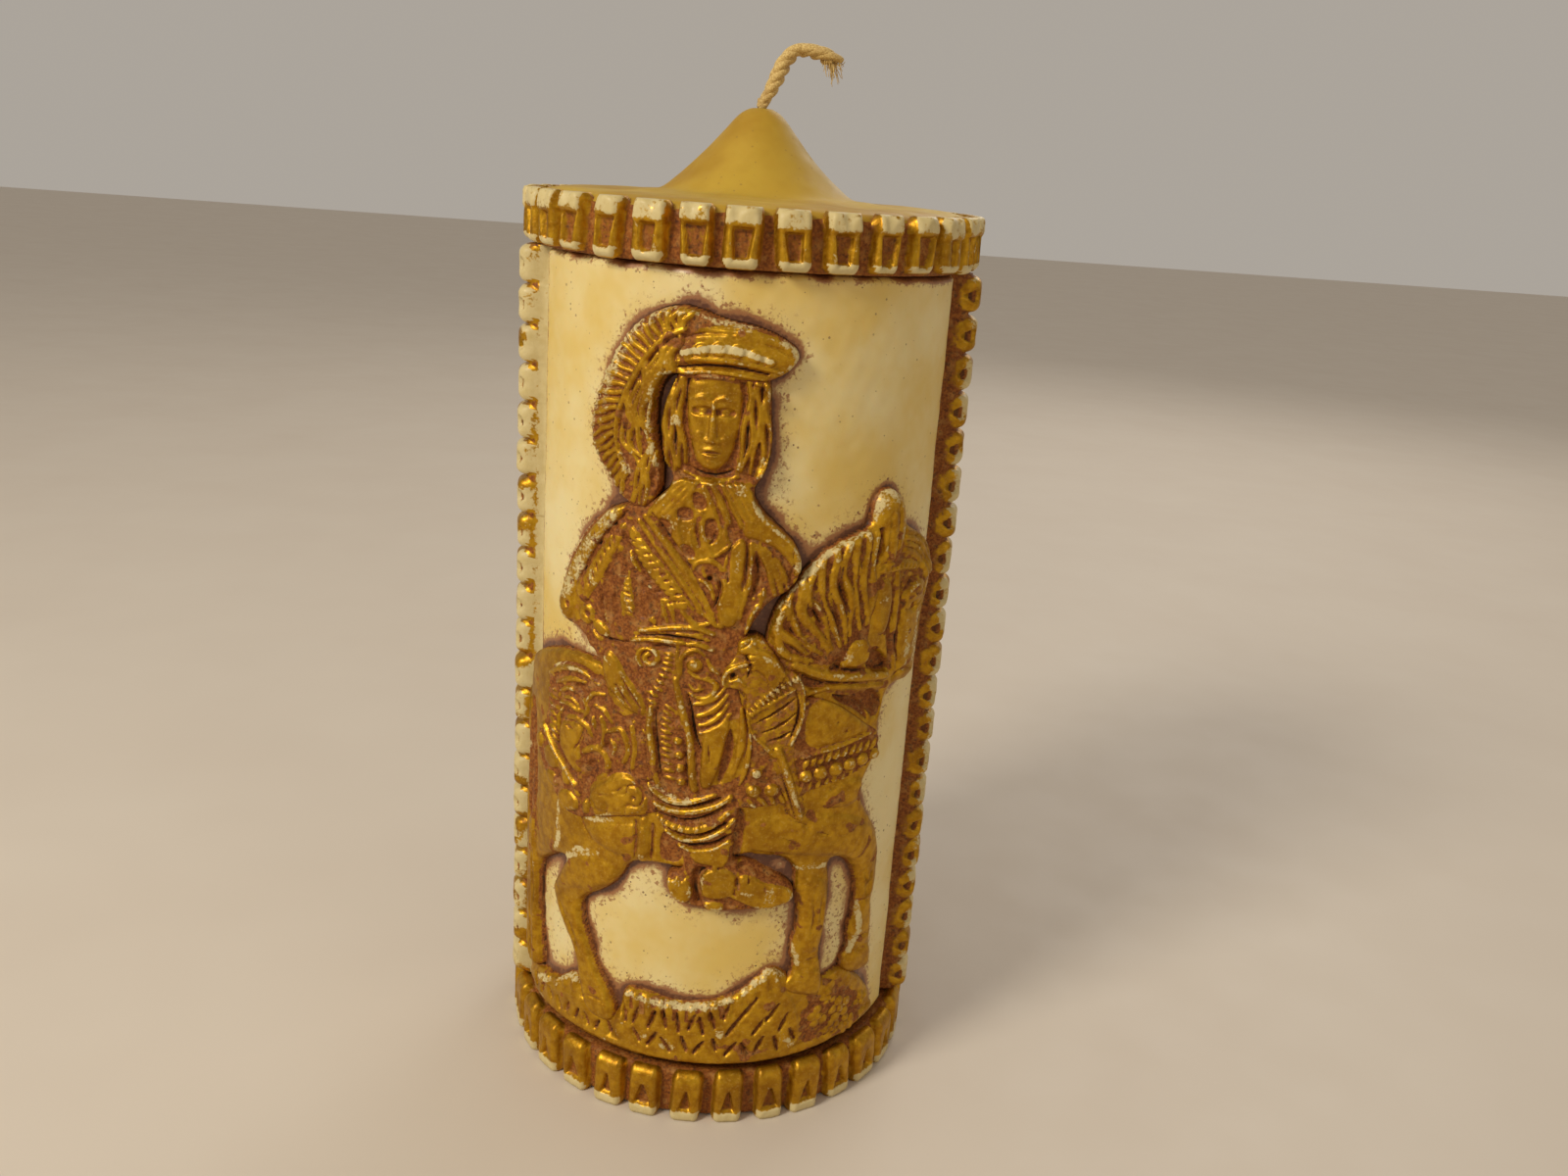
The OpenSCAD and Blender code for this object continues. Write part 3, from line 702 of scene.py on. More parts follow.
def make_column(name, node_name, side, turn0, seed):
    arc = (COLUMN_END - COLUMN_START) * GROUND_R
    columns, rows = round(arc / COLUMN_CELL), round((COLUMN_HIGH[2] - COLUMN_LOW[2]) / COLUMN_CELL)
    source = np.random.default_rng(seed)
    draws = source.uniform(-1, 1, (6, COLUMN_BLOCKS))

    def bend(column, row, front):
        turn = COLUMN_START + column / columns * (COLUMN_END - COLUMN_START)
        z = COLUMN_LOW[2] + row / rows * (COLUMN_HIGH[2] - COLUMN_LOW[2])
        pick = np.clip((z - COLUMN_LOW[2]) / COLUMN_PITCH, 0, COLUMN_BLOCKS - 0.01).astype(int)
        y = z - COLUMN_LOW[2] - (pick + 0.5) * COLUMN_PITCH
        x = (turn - COLUMN_MIDDLE) * BLOCK_R - 0.25 * draws[0][pick]
        y = y - 0.12 * draws[1][pick] - 0.05 * draws[2][pick] * x
        wide, tall = 3.35 + 0.2 * draws[3][pick], 3.12 + 0.12 * draws[4][pick]
        near = np.minimum(wide - np.abs(x), tall - np.abs(y))
        corner = np.hypot(np.maximum(np.abs(x) - wide + 1.7, 0), np.maximum(np.abs(y) - tall + 1.7, 0))
        near = np.minimum(near, 1.7 - corner)
        rise = 3.1 * dome((3.6 - np.abs(x)) / 2.4) + (1.7 + 0.15 * draws[5][pick]) * dome(near / 1.5)
        hole = np.hypot((x + (2.3 if side > 0 else 1.7)) / 0.62, y + 0.1)
        pit = smooth_step((1.25 - hole) / 0.45)
        rise = rise - 1.3 * pit * (near > 0)
        along = turn * BLOCK_R * side
        rise = rise * (1 + 0.03 * lumps(along, z, 4.5, seed)) + 0.12 * lumps(along, z, 3.0, seed + 1) * (near < 0)
        rise = np.clip(rise, -0.4, 4.95)
        r = np.where(front, STRIP_R + rise, GROUND_R - 2.9)
        pale = 0.95 if side < 0 else 0.85
        wear = pale * smooth_step((rise - 0.6) / 1.0) * smooth_step(0.8 + lumps(along, z, 9.0, seed + 2) * 1.4)
        wear = wear * smooth_step((x + 3.1 if side > 0 else x + 9) / 0.6) * (near > 0.1)
        # Stain and painted shade: darker at the blocks' edges, in the gaps between them and in the punched holes.
        hollow = np.maximum(0.6 * smooth_step(((0.45 if side > 0 else 0.2) - near) / 0.6), 0.85 * pit)
        strip = smooth_step((-2.9 - x) / 0.5)
        if side < 0:   # on this side hardly any stain was left on the strip, and most of its painted shade is taken off too
            wear = np.maximum(wear, strip * (0.9 - 0.9 * smooth_step((0.9 - (turn - COLUMN_START) * GROUND_R) / 0.5)))
            hollow = hollow * (1 - 0.8 * strip)
        stain = 0.35 * (near < 0.3) * (1 - strip * (side < 0)) + 0.1 * lumps(along, z, 12.0, seed + 3)
        turn = turn0 + side * turn
        places = np.stack([r * np.sin(turn), -r * np.cos(turn), z], axis=-1)
        return places, tones(wear, hollow, stain)

    bm = flat_sheet(columns, rows)
    if side < 0:
        bmesh.ops.reverse_faces(bm, faces=bm.faces)
    return finish_mesh(name, bm, bend, GILT, [node_name])

make_column("front_right_block_column", "front_right_column", 1, 0, 31)
make_column("front_left_block_column", "front_left_column", -1, 0, 32)
make_column("back_left_block_column", "back_left_column", 1, math.pi, 33)
make_column("back_right_block_column", "back_right_column", -1, math.pi, 34)

# %% [markdown]
# ## Drawing the relief
# The relief is modelled the way a medal is: on a flat sheet first. A map holds, for every 0.2 mm of the
# panel, how high the wax stands. Each casting starts as an outline with rounded shoulders. Then strokes
# go on: ridges for folds and hair, grooves, beads, curls and rows of short ticks. Places on the map are
# millimetres: the distance round the panel from its middle, and the height above the table.

# %% The map of the panel
MAP_CELL = 0.2   # mm

def cells_of(size):
    """How many cells of a size lie across the panel and up it."""
    return round(2 * PANEL_HALF / size), round((PANEL_Z[1] - PANEL_Z[0]) / size)

MAP_COLUMNS, MAP_ROWS = cells_of(MAP_CELL)
CELL_X, CELL_Z = 2 * PANEL_HALF / MAP_COLUMNS, (PANEL_Z[1] - PANEL_Z[0]) / MAP_ROWS
MAP_X, MAP_Z = np.meshgrid(-PANEL_HALF + np.arange(MAP_COLUMNS + 1) * CELL_X,
    PANEL_Z[0] + np.arange(MAP_ROWS + 1) * CELL_Z)
print(f"map of {MAP_COLUMNS} by {MAP_ROWS} cells")

def part_of_map(line, reach):
    """The rows and columns of the map that lie within reach of a line."""
    low, high = line.min(axis=0) - reach, line.max(axis=0) + reach
    return (slice(max(0, int((low[1] - PANEL_Z[0]) / CELL_Z)), max(0, int((high[1] - PANEL_Z[0]) / CELL_Z) + 2)),
        slice(max(0, int((low[0] + PANEL_HALF) / CELL_X)), max(0, int((high[0] + PANEL_HALF) / CELL_X) + 2)))

def away_from(line, part):
    """Distance from a line of points, and how far along it (0 to 1) the nearest place is."""
    x, z = MAP_X[part], MAP_Z[part]
    best, along = np.full(x.shape, 99.0), np.zeros(x.shape)
    for i, (a, b) in enumerate(zip(line[:-1], line[1:])):
        step = b - a
        t = np.clip(((x - a[0]) * step[0] + (z - a[1]) * step[1]) / (step @ step + 1e-9), 0, 1)
        far = np.hypot(x - a[0] - t * step[0], z - a[1] - t * step[1])
        closer = far < best
        best = np.where(closer, far, best)
        along = np.where(closer, (i + t) / (len(line) - 1), along)
    return best, along

def loop_line(points):
    """A closed outline with its corners rounded."""
    points = np.array(points, dtype=float)
    for _ in range(2):
        after = np.roll(points, -1, axis=0)
        points = np.stack([0.75 * points + 0.25 * after, 0.25 * points + 0.75 * after], axis=1).reshape(-1, 2)
    return np.vstack([points, points[:1]])

def inside_of(line, part, reach):
    """Distance inside a closed outline, negative outside it."""
    x, z = MAP_X[part], MAP_Z[part]
    far, _ = away_from(line, part)
    inside = np.zeros(x.shape, dtype=bool)
    for (ax, az), (bx, bz) in zip(line[:-1], line[1:]):
        if az != bz:
            inside ^= ((az > z) != (bz > z)) & (x < (bx - ax) * (z - az) / (bz - az) + ax)
    return np.where(inside, far, -np.minimum(far, reach))

# %% [markdown]
# A `Casting` collects the strokes of one piece. Ridges that cross don't pile up: the highest one wins,
# as it does when clay is pushed about. Grooves are kept apart and taken off at the end.

# %% One casting and its strokes
class Casting:
    def __init__(self, name, outline, lift, height, shoulder, ground=0.0):
        self.name = name
        self.ground = np.full(MAP_X.shape, ground)   # how much stain shows between the strokes
        self.near = np.full(MAP_X.shape, -9.0)
        part, inside = self.area(outline, 2.0)
        self.near[part] = inside
        self.mass = lift + (height - lift) * dome(self.near / shoulder)
        self.ridges = np.zeros(MAP_X.shape)
        self.grooves = np.zeros(MAP_X.shape)
        self.stain = np.zeros(MAP_X.shape)
        self.wear = np.zeros(MAP_X.shape)

    def stroke(self, target, points, width, rise, ends):
        line = rounded_line(points, 5)
        part = part_of_map(line, width / 2 + 0.2)
        far, along = away_from(line, part)
        thick = np.interp(along, (0, 0.5, 1), (ends[0], 1, ends[1]))
        t = np.clip(far / (width / 2 * thick + 1e-6), 0, 1)
        target[part] = np.maximum(target[part], rise * (0.4 + 0.6 * thick) * (1 - t ** 3.5) ** 0.8)

    def ridge(self, points, width=1.1, rise=0.6, ends=(0.5, 0.5)):
        self.stroke(self.ridges, points, width, rise, ends)

    def groove(self, points, width=0.7, depth=0.6, ends=(0.4, 0.4)):
        self.stroke(self.grooves, points, width, depth, ends)

    def area(self, points, reach=0.4):
        """The part of the map round an outline, and how far inside it each place lies."""
        line = loop_line(points)
        part = part_of_map(line, reach)
        return part, inside_of(line, part, reach)

    def wash(self, points, amount, edge=0.8):
        """Sets how much stain shows between the strokes of an area: 0 leaves it all gold."""
        part, inside = self.area(points)
        share = smooth_step((inside + 0.2) / edge)
        self.ground[part] += (amount - self.ground[part]) * share

    def rub(self, points, width=1.2, amount=0.9):
        """Wears the gold back to the wax along a line."""
        self.stroke(self.wear, points, width, amount, (0.7, 0.7))

    def strands(self, curves, count, width=1.0, rise=0.6, ends=(0.5, 0.3), wave=0.0):
        """Ridges that fill the space between curves, which all have the same number of points."""
        curves = np.array(curves, dtype=float)
        for n, k in enumerate(np.linspace(0, len(curves) - 1, count)):
            i = min(int(k), len(curves) - 2)
            line = curves[i] + (curves[i + 1] - curves[i]) * (k - i)
            if wave:
                line = rounded_line(line, 4)
                step = np.gradient(line, axis=0)
                side = np.stack([-step[:, 1], step[:, 0]], axis=-1) / np.linalg.norm(step, axis=1)[:, None]
                line = line + side * (wave * np.sin(np.linspace(0, 9, len(line)) + n * 2.1))[:, None]
            self.ridge(line, width * (1 + 0.15 * math.sin(n * 2.7)), rise, ends)

    def ticks(self, points, count, length, width=0.6, rise=0.5, lean=90, cut=False):
        """Short strokes across a line."""
        line = rounded_line(points, 6)
        for k in np.linspace(0, len(line) - 1.001, count):
            i = int(k)
            at = line[i] + (line[i + 1] - line[i]) * (k - i)
            turn = math.atan2(*(line[i + 1] - line[i])[::-1]) + math.radians(lean)
            half = np.array((math.cos(turn), math.sin(turn))) * length / 2
            self.stroke(self.grooves if cut else self.ridges, [at - half, at, at + half], width, rise, (0.6, 0.4))

    def bead(self, x, z, radius, rise=0.7, cut=False):
        self.stroke(self.grooves if cut else self.ridges, [(x - 0.01, z), (x + 0.01, z)], 2 * radius, rise, (1, 1))

    def plate(self, points, rise=0.5, edge=0.45, worn=0.0):
        """A raised flat area with a crisp edge."""
        part, inside = self.area(points, 0.3)
        shape = dome((inside + 0.05) / edge)
        self.ridges[part] = np.maximum(self.ridges[part], rise * shape)
        self.wear[part] = np.maximum(self.wear[part], worn * shape)

    def curl(self, x, z, radius, turns=1.3, start=0, width=0.8, rise=0.6, hand=1):
        """A scroll that winds inwards."""
        t = np.linspace(0, 1, 14)
        turn = math.radians(start) + hand * t * turns * 2 * math.pi
        self.ridge(np.stack([x + radius * (1 - 0.75 * t) * np.cos(turn), z + radius * (1 - 0.75 * t) * np.sin(turn)],
            axis=-1), width, rise, (0.8, 0.7))

    def rosette(self, x, z, radius, petals=5):
        for k in range(petals):
            turn = 2 * math.pi * k / petals + 0.5
            self.bead(x + radius * math.cos(turn), z + radius * math.sin(turn), radius * 0.62, 0.6)
        self.bead(x, z, radius * 0.5, 0.75)

    def mound(self, points, rise, shoulder=1.5):
        part, inside = self.area(points)
        self.mass[part] += rise * dome(inside / shoulder)

    def sink(self, points, depth=0.8, stain=0.9, edge=0.6):
        """Lowers an area, where the stain stays. In deep holes and gaps this darkening is also painted shade."""
        part, inside = self.area(points)
        amount = smooth_step((inside + 0.2) / edge)
        self.mass[part] -= depth * amount
        self.stain[part] = np.maximum(self.stain[part], stain * amount)

    def height(self):
        shape = np.minimum(smooth_step(self.near / 0.9) * 9, self.mass + self.ridges - self.grooves)
        shape = np.maximum(shape, 0.35)
        return np.where(self.near > 0, np.minimum(shape, 6 * self.near), np.maximum(0.9 * self.near, -0.35))

# %% [markdown]
# ### The turf
# A low bank under the hooves. Its front is covered with short blades, and small flowers stand at its
# right end.

# %% Turf
turf = Casting("turf", [(-43.5, 10.9), (-43.5, 17), (-36, 18), (-31, 19), (-28, 22), (-25, 22.5), (-22, 17), (-16, 18),
    (-15.5, 24.5), (-11, 24.3), (-5, 23), (0, 24), (5, 25.5), (8, 28.5), (10.5, 30.8), (13, 29.5), (15, 27.5), (20, 26),
    (22, 26), (25.5, 27.5), (29, 24.5), (33, 20.5), (35, 17.5), (36.5, 10.9)], 0.2, 1.3, 1.6, 0.3)
turf.ridge([(-43, 12.2), (-25, 13), (-10, 12.4), (5, 12.2), (20, 12.8), (35, 15)], 1.6, 0.45, (1, 1))
for x, z, lean, tall in ((-34, 18.2, -1, 3), (-31, 19.6, -1, 3.2), (-28.5, 21, -0.5, 3.5), (-26, 21.5, 0.5, 3.5),
        (-14.3, 22.6, -0.8, 3.6), (-12.4, 22.4, -0.6, 3.8), (-10.4, 22, -0.4, 3.5), (-8.4, 21.7, 0.3, 3.6),
        (-6.5, 21.5, -0.4, 3.4), (-4.5, 21.6, 0.3, 3.5), (-2.5, 21.8, -0.4, 3.4), (-0.5, 22.2, 0.4, 3.5),
        (1.5, 22.6, -0.6, 3.6), (3.4, 23.3, 0.6, 3.5), (5.6, 24.5, -0.9, 4), (7.6, 26.6, -1, 4.4),
        (9.8, 28.4, -1.2, 4.4), (12, 27.8, -0.6, 4)):
    turf.ridge([(x, z - tall / 2), (x + lean * 0.3, z), (x + lean, z + tall / 2)], 1.45, 0.5, (0.9, 0.5))
turf.plate([(-16.5, 12.6), (-16.5, 18.6), (-12, 20.4), (-6, 19.8), (0, 20.2), (4, 21.5), (8, 25), (12, 27), (15, 24),
    (16.5, 19), (17, 13), (8, 12), (-4, 11.8)], 0.4, 0.6)
turf.plate([(-42, 13.4), (-41, 16), (-34, 16.6), (-26, 18.6), (-22.5, 19), (-19, 15.6), (-17.5, 13), (-28, 12.6)], 0.35,
    0.6)
for x, z, lean, tall in ((-38, 15, 0.4, 1.8), (-35.3, 14.8, -0.4, 1.9), (-32.6, 15.2, 0.4, 1.8), (-29.8, 14.8, 0.5, 2),
        (-27.4, 15.2, -0.3, 2), (-25, 15, -0.4, 2), (-22.6, 15, 0.4, 1.8), (-20.2, 14.8, -0.4, 1.8),
        (-17.8, 15.2, 0.4, 1.8), (-14.7, 19.4, 0.2, 3), (-12.6, 19.6, -0.4, 3.2), (-9.6, 19.4, -0.6, 3.4),
        (-7.4, 19.9, 0.4, 3), (-5, 19.6, 0.2, 3.4), (-2.6, 20, -0.5, 3), (-0.9, 19.4, 0.3, 3.2), (1, 20.6, 0.4, 2.8),
        (3.4, 22.6, -0.5, 3.2), (4.7, 19.6, -1.2, 4), (6.8, 22.6, -1.6, 4.6), (-12.3, 15.6, 0.6, 2.2),
        (-9.4, 15.5, -0.8, 2.8), (-7, 14.8, 0.8, 2.4), (-3.8, 15.5, 0.5, 2.8), (-1.2, 15, -0.8, 2.4),
        (1.5, 15.7, 0.3, 2.4), (4.3, 14.7, -0.9, 2.6), (6.8, 14.6, 0.7, 2.6), (9.4, 15.5, -0.6, 2.8),
        (12.4, 15.2, 0.4, 2.8), (9.2, 19.2, -1.1, 3.4), (11.4, 21.6, -1, 3.2), (13.6, 19.4, -0.7, 3.4),
        (15.4, 16.4, 0.6, 2.6)):
    turf.groove([(x - lean, z + tall / 2), (x, z), (x + lean, z - tall / 2)], 1.0, 1.0, (0.5, 0.7))
for x, z, size in ((20.5, 18.7, 1.5), (25.3, 18.6, 1.7), (23.7, 14.8, 1.3), (27.3, 14.4, 1.4), (31, 17.5, 1.3),
        (22.5, 22, 1.2)):
    turf.rosette(x, z, size)
turf.wash([(16.5, 13.5), (16.5, 21), (20, 24), (28, 23), (33, 16), (28, 13.3), (20, 13.2)], 0.9, 1.2)
turf.wash([(-15, 24), (-11, 24.5), (-5, 23.2), (0, 24.2), (4, 24), (3, 19), (-6, 18.5), (-15, 19)], 0.85, 1.2)
for points in ([(-31, 18), (-28.5, 21), (-25.5, 22), (-23, 20)], [(-14.5, 23.5), (-8, 22.8), (-1, 23.2), (4, 24.6)],
        [(5, 25), (8.5, 28.5), (10.5, 30), (13, 28.6)], [(-37.5, 16), (-33, 17.6)]):
    turf.rub(points, 2.2, 0.72)

# %% [markdown]
# ### The horse
# The horse stands side on with its head turned down. Its body is smooth, so its forms come from broad
# mounds. The mane falls in wavy locks, and straps cross its neck and cheek.

# %% Horse: body, legs and head
horse = Casting("horse", [(-43.6, 79), (-40, 81.5), (-36, 83.2), (-30, 85), (-24, 85), (-12, 84), (2, 88), (5.5, 91),
    (6, 95), (7, 98.5), (9.5, 102), (12, 105.3), (15, 107.8), (19, 109.7), (23, 110.6), (23, 114), (24.5, 116.8),
    (27.5, 117), (30, 114.6), (30.8, 111), (32.5, 109.6), (36, 108), (39, 105), (40.8, 101.5), (40.3, 98), (38.6, 94.5),
    (38.2, 88), (38, 83.5), (36.3, 81), (32.5, 81.5), (30, 81), (28.8, 77), (28.9, 73), (28.8, 69.3), (27.3, 66.8),
    (25.8, 64), (26, 61), (28.3, 57.5), (30.8, 54), (32, 50), (32, 44), (31.6, 39), (32, 34), (32.4, 29), (33, 25.3),
    (31, 24.2), (26.5, 25.2), (24.5, 28), (27, 31.5), (26, 34.5), (27.4, 38), (27.5, 43), (26, 47.5), (23, 50.5),
    (19.6, 51), (20.6, 47), (20.7, 42), (20.2, 37), (19.6, 32), (20.5, 29), (21, 22.6), (17.5, 23.3), (12, 26),
    (15.3, 30), (13.7, 34), (15, 38), (14.7, 43), (13.6, 47), (14, 50), (11, 53), (7, 53.3), (4.5, 54), (0, 50.8),
    (-6, 50.3), (-10.5, 50.6), (-15, 49.7), (-16.5, 46), (-20, 42.3), (-25, 39), (-25, 35), (-23, 30), (-21, 26),
    (-18, 22), (-16.3, 18), (-17.5, 15.8), (-22.3, 16), (-24.2, 19), (-25.3, 24), (-26.5, 28), (-29.5, 32.5),
    (-33.2, 37.5), (-31, 41.5), (-28.3, 45.5), (-31, 45.3), (-35.5, 42.3), (-38.6, 40), (-38.8, 32), (-38, 24),
    (-37, 17.2), (-43.6, 16.8), (-43.6, 30), (-43.6, 60)], 0.6, 1.75, 1.5)
horse.mound([(-43, 79), (-36, 82), (-28, 83), (-26, 62), (-25, 49), (-30, 46.5), (-38, 42), (-43, 40)], 0.35, 6)
horse.mound([(-24, 53.5), (-17, 56.8), (-10.5, 58), (-10.8, 51.3), (-15.5, 50.5), (-21, 51.3)], 0.5, 2.2)
horse.mound([(-28, 47), (-18, 49), (-16.8, 46), (-21, 42.5), (-26.5, 40.5), (-31.8, 38)], 0.4, 2.5)
horse.mound([(-32.3, 37.5), (-26, 38.5), (-23.6, 30.5), (-26.8, 29)], 0.35, 2)
horse.mound([(-24.4, 21), (-18.5, 21.5), (-16.8, 18), (-18, 16.4), (-22, 16.6)], 0.35, 1.6)
horse.mound([(4.8, 60.5), (10.5, 61.5), (20, 60), (26.5, 57.5), (30.5, 53), (31.5, 48), (31.3, 40), (28, 40),
    (27.8, 46), (24, 51), (15, 53), (8, 54.3), (5, 55)], 0.7, 2.6)
horse.mound([(16, 62), (19, 65.5), (25.5, 66.3), (25.3, 61.8), (22, 60.6)], 0.75, 2)
horse.mound([(28.3, 40), (31.4, 39), (31.8, 30), (28.4, 31), (27, 35)], 0.3, 1.5)
horse.mound([(25.5, 29.5), (31.8, 30.5), (32.3, 26), (31, 24.8), (27, 25.8)], 0.5, 1.5)
horse.mound([(14.5, 49), (19.6, 47.5), (20.2, 41), (19.5, 33), (15.8, 33), (15.4, 42)], 0.6, 1.8)
horse.mound([(15.3, 30), (20.2, 29.3), (20.5, 24), (17.5, 24), (14.5, 26)], 0.6, 1.5)
horse.mound([(30.8, 96), (31, 86), (32, 82.3), (36.5, 82), (37.5, 87), (37.8, 94), (39.8, 98.5), (40, 102), (37, 104),
    (33, 101)], 0.75, 3)
horse.mound([(24.3, 101.5), (27.8, 101.3), (28.2, 96), (27, 91.5), (24.5, 93), (23.8, 97)], 0.45, 1.4)
horse.mound([(19.5, 91.5), (23.5, 92), (24.5, 88), (22.5, 86.5), (19.5, 87)], 0.35, 1)
horse.mound([(23.3, 111), (24.3, 115.8), (27, 116.5), (29.6, 114), (30, 109), (28.7, 104), (25.2, 104), (24.6, 110)],
    0.9, 1.8)
horse.mound([(32, 99.8), (35, 100), (36.6, 97.8), (35, 96.4), (32.3, 97)], 0.5, 1)
for points in ([(25.8, 113), (25.7, 109), (26, 104.5)], [(27.5, 114.5), (27.8, 109), (27.4, 104.5)]):
    horse.groove(points, 0.7, 0.5)
horse.bead(34.1, 95.4, 0.95, 0.8, True)
horse.groove([(31.8, 95.2), (34, 95), (36.2, 95.8)], 0.5, 0.5)
horse.groove([(36.4, 101), (37.3, 96), (36.5, 91), (36.7, 86)], 0.6, 0.35)
horse.strands([[(30.6, 109.4), (34.6, 108), (38, 104.8), (39.8, 101)], [(30.6, 106), (33.6, 104.8), (35.8, 102.6),
    (37.2, 100.4)]], 4, 1.15, 0.6, (0.7, 0.8))
horse.plate([(24.6, 103.4), (26.2, 104.6), (31, 104.3), (35.2, 103), (34.8, 101.8), (30, 102.7), (25, 102.6)], 0.65,
    0.4)
horse.ticks([(26, 103.6), (30, 103.5), (34, 102.6)], 8, 0.9, 0.35, 0.35, 80, True)
horse.plate([(24.6, 101.6), (27.6, 101.4), (28.1, 97), (27.2, 91.6), (25.2, 92.4), (24.2, 96.5)], 0.4, 0.7)
horse.ridge([(29.2, 102), (29.6, 97), (29.3, 92), (29.9, 88), (30.6, 84.6)], 1.3, 0.55, (0.8, 0.7))
horse.groove([(28.4, 101), (28.7, 96), (28.2, 92), (28.6, 88.6)], 0.7, 0.8)
horse.groove([(30.7, 101), (31, 96), (30.7, 90), (31.3, 86)], 0.7, 0.9)
horse.ridge([(31.4, 97.4), (33.2, 99.3), (35.6, 99.4), (37.4, 97.6)], 1.0, 0.5)
horse.groove([(31.8, 98.8), (33.6, 100.6), (36, 100.4)], 0.6, 0.6)
horse.groove([(30.5, 83), (33, 84.2), (35.8, 83.3)], 0.7, 0.6)
horse.groove([(24.4, 110.4), (24.5, 107.6), (24.3, 104.8)], 1.2, 1.0, (0.8, 0.8))
horse.plate([(25.4, 113), (27.2, 113.4), (27.4, 108), (27.2, 104.8), (25.3, 104.8), (25.1, 109)], 0.35, 0.4)
horse.plate([(19.6, 91.4), (23.4, 92), (24.2, 88.4), (22.4, 86.9), (19.4, 87.2)], 0.45, 0.5)
horse.sink([(28.3, 92), (30.3, 92), (30.8, 87.5), (28.6, 87)], 0.35, 0.8)
# The two deep openings by the head and neck: sunk, and darkened brown to near black with stain and painted shade.
horse.sink([(24.3, 88.6), (26.8, 89), (29.3, 86.2), (28.8, 84.8), (25.8, 85.3), (24, 86.5)], 1.6, 1.0)
horse.sink([(23.8, 82), (25.2, 82.2), (28.2, 80.3), (28.4, 78), (25.8, 77), (24.3, 79.5)], 1.7, 1.0)
horse.groove([(17.5, 82.4), (20, 81.3), (23, 80), (24.8, 78.2)], 1.0, 0.9, (0.3, 0.8))

# %% Horse: mane, straps, joints and tail
horse.strands([[(6.6, 95), (7.6, 92), (10, 89.8), (12.5, 88.5)], [(8.2, 99.5), (7.8, 95.8), (10, 92.8), (14, 89.5)],
    [(10.5, 102.8), (10.6, 98.5), (12.4, 95), (15.8, 90.3)], [(12.8, 105.3), (12.6, 100.5), (14.6, 97), (17.3, 91)],
    [(15.6, 107.6), (15.2, 102.5), (17, 98.2), (18.6, 91)], [(18.6, 109), (18, 104), (19.3, 99), (20.2, 93)],
    [(21.2, 109.8), (20.8, 104.5), (21.6, 99.5), (22.3, 94)], [(23.4, 109.8), (23.1, 104.5), (23.3, 99), (23.6, 94.5)]],
    11, 1.65, 0.8, (0.8, 0.4), 0.35)
for points in ([(9.2, 97.5), (9.6, 94.5), (12, 92)], [(12.3, 100), (13.4, 97), (15.5, 94)], [(14.6, 103.5), (15, 99.5),
        (17, 96), (18, 93)], [(17.2, 105), (17.5, 101), (19.3, 97)], [(20.2, 106.5), (20.3, 102), (21.3, 98)],
        [(22.4, 107), (22.4, 102.5)], [(9.5, 91.6), (12, 90), (14.5, 88.8)]):
    horse.groove(points, 0.75, 0.75)
horse.ridge([(10.5, 88.3), (14, 86.8), (18, 85.6), (23, 84.8), (28.5, 84)], 1.9, 0.85, (0.8, 0.8))
horse.ridge([(13, 83.2), (17, 83.9), (22, 83.2), (28, 82.3)], 1.2, 0.5, (0.7, 0.7))
horse.groove([(12.5, 85.8), (15, 84.9), (18, 84.6), (22, 84)], 0.7, 0.6)
horse.groove([(17.5, 87.6), (20, 86.4), (24, 86)], 0.9, 0.8)
for points in ([(11.5, 60.3), (14.5, 59), (15.3, 57.2)], [(10.5, 57), (12.5, 56), (13.6, 54.5)],
        [(16.3, 57.5), (19, 56.3)], [(27.6, 47), (28.9, 43), (28.5, 38)], [(29.4, 46), (29.5, 40)], [(16.8, 45),
        (17.4, 40), (16.8, 36)], [(18.7, 44), (18.9, 38)], [(16.5, 31.6), (19.5, 31.2)], [(27.5, 33), (31.2, 32.2)],
        [(-27.5, 34.5), (-25.8, 31), (-25, 28)], [(-29.5, 36.5), (-27.5, 33)], [(-22.5, 52), (-24.5, 54), (-24.8, 57)],
        [(-24.5, 19.5), (-21, 20.5), (-18, 20)]):
    horse.groove(points, 0.6, 0.45)
horse.groove([(-13.9, 58), (-13.5, 54.5), (-13.8, 51.3)], 0.6, 0.6, (0.8, 0.8))
horse.ridge([(-12.4, 58.3), (-12.2, 54.5), (-12.4, 51)], 1.7, 0.45, (0.9, 0.9))
horse.groove([(-10.9, 58), (-10.8, 54.5), (-11, 51)], 0.6, 0.6, (0.8, 0.8))
horse.sink([(-9.5, 58), (-5.5, 56.5), (-5.3, 51.3), (-10, 51.3)], 0.5, 0.8)
horse.sink([(1.2, 62), (4.5, 63), (4.2, 55.5), (3.3, 51.8), (1, 53)], 0.7, 0.9)
horse.strands([[(-43, 73), (-42.4, 60), (-42.6, 45), (-42.8, 30), (-42.6, 18)], [(-40, 66), (-38.8, 55), (-39.5, 43),
    (-39.4, 30), (-38.4, 18)]], 5, 1.2, 0.6, (0.5, 0.6), 0.3)
horse.sink([(-42.5, 72), (-39, 73), (-38, 62), (-37.8, 52), (-40.5, 47), (-43, 50)], 0.45, 0.8, 1.2)
horse.sink([(-36.2, 38.5), (-33.8, 33.5), (-29.5, 28.5), (-27.8, 24.5), (-30.5, 21.5), (-34.5, 22), (-37, 30)], 0.3,
    0.35, 1.5)
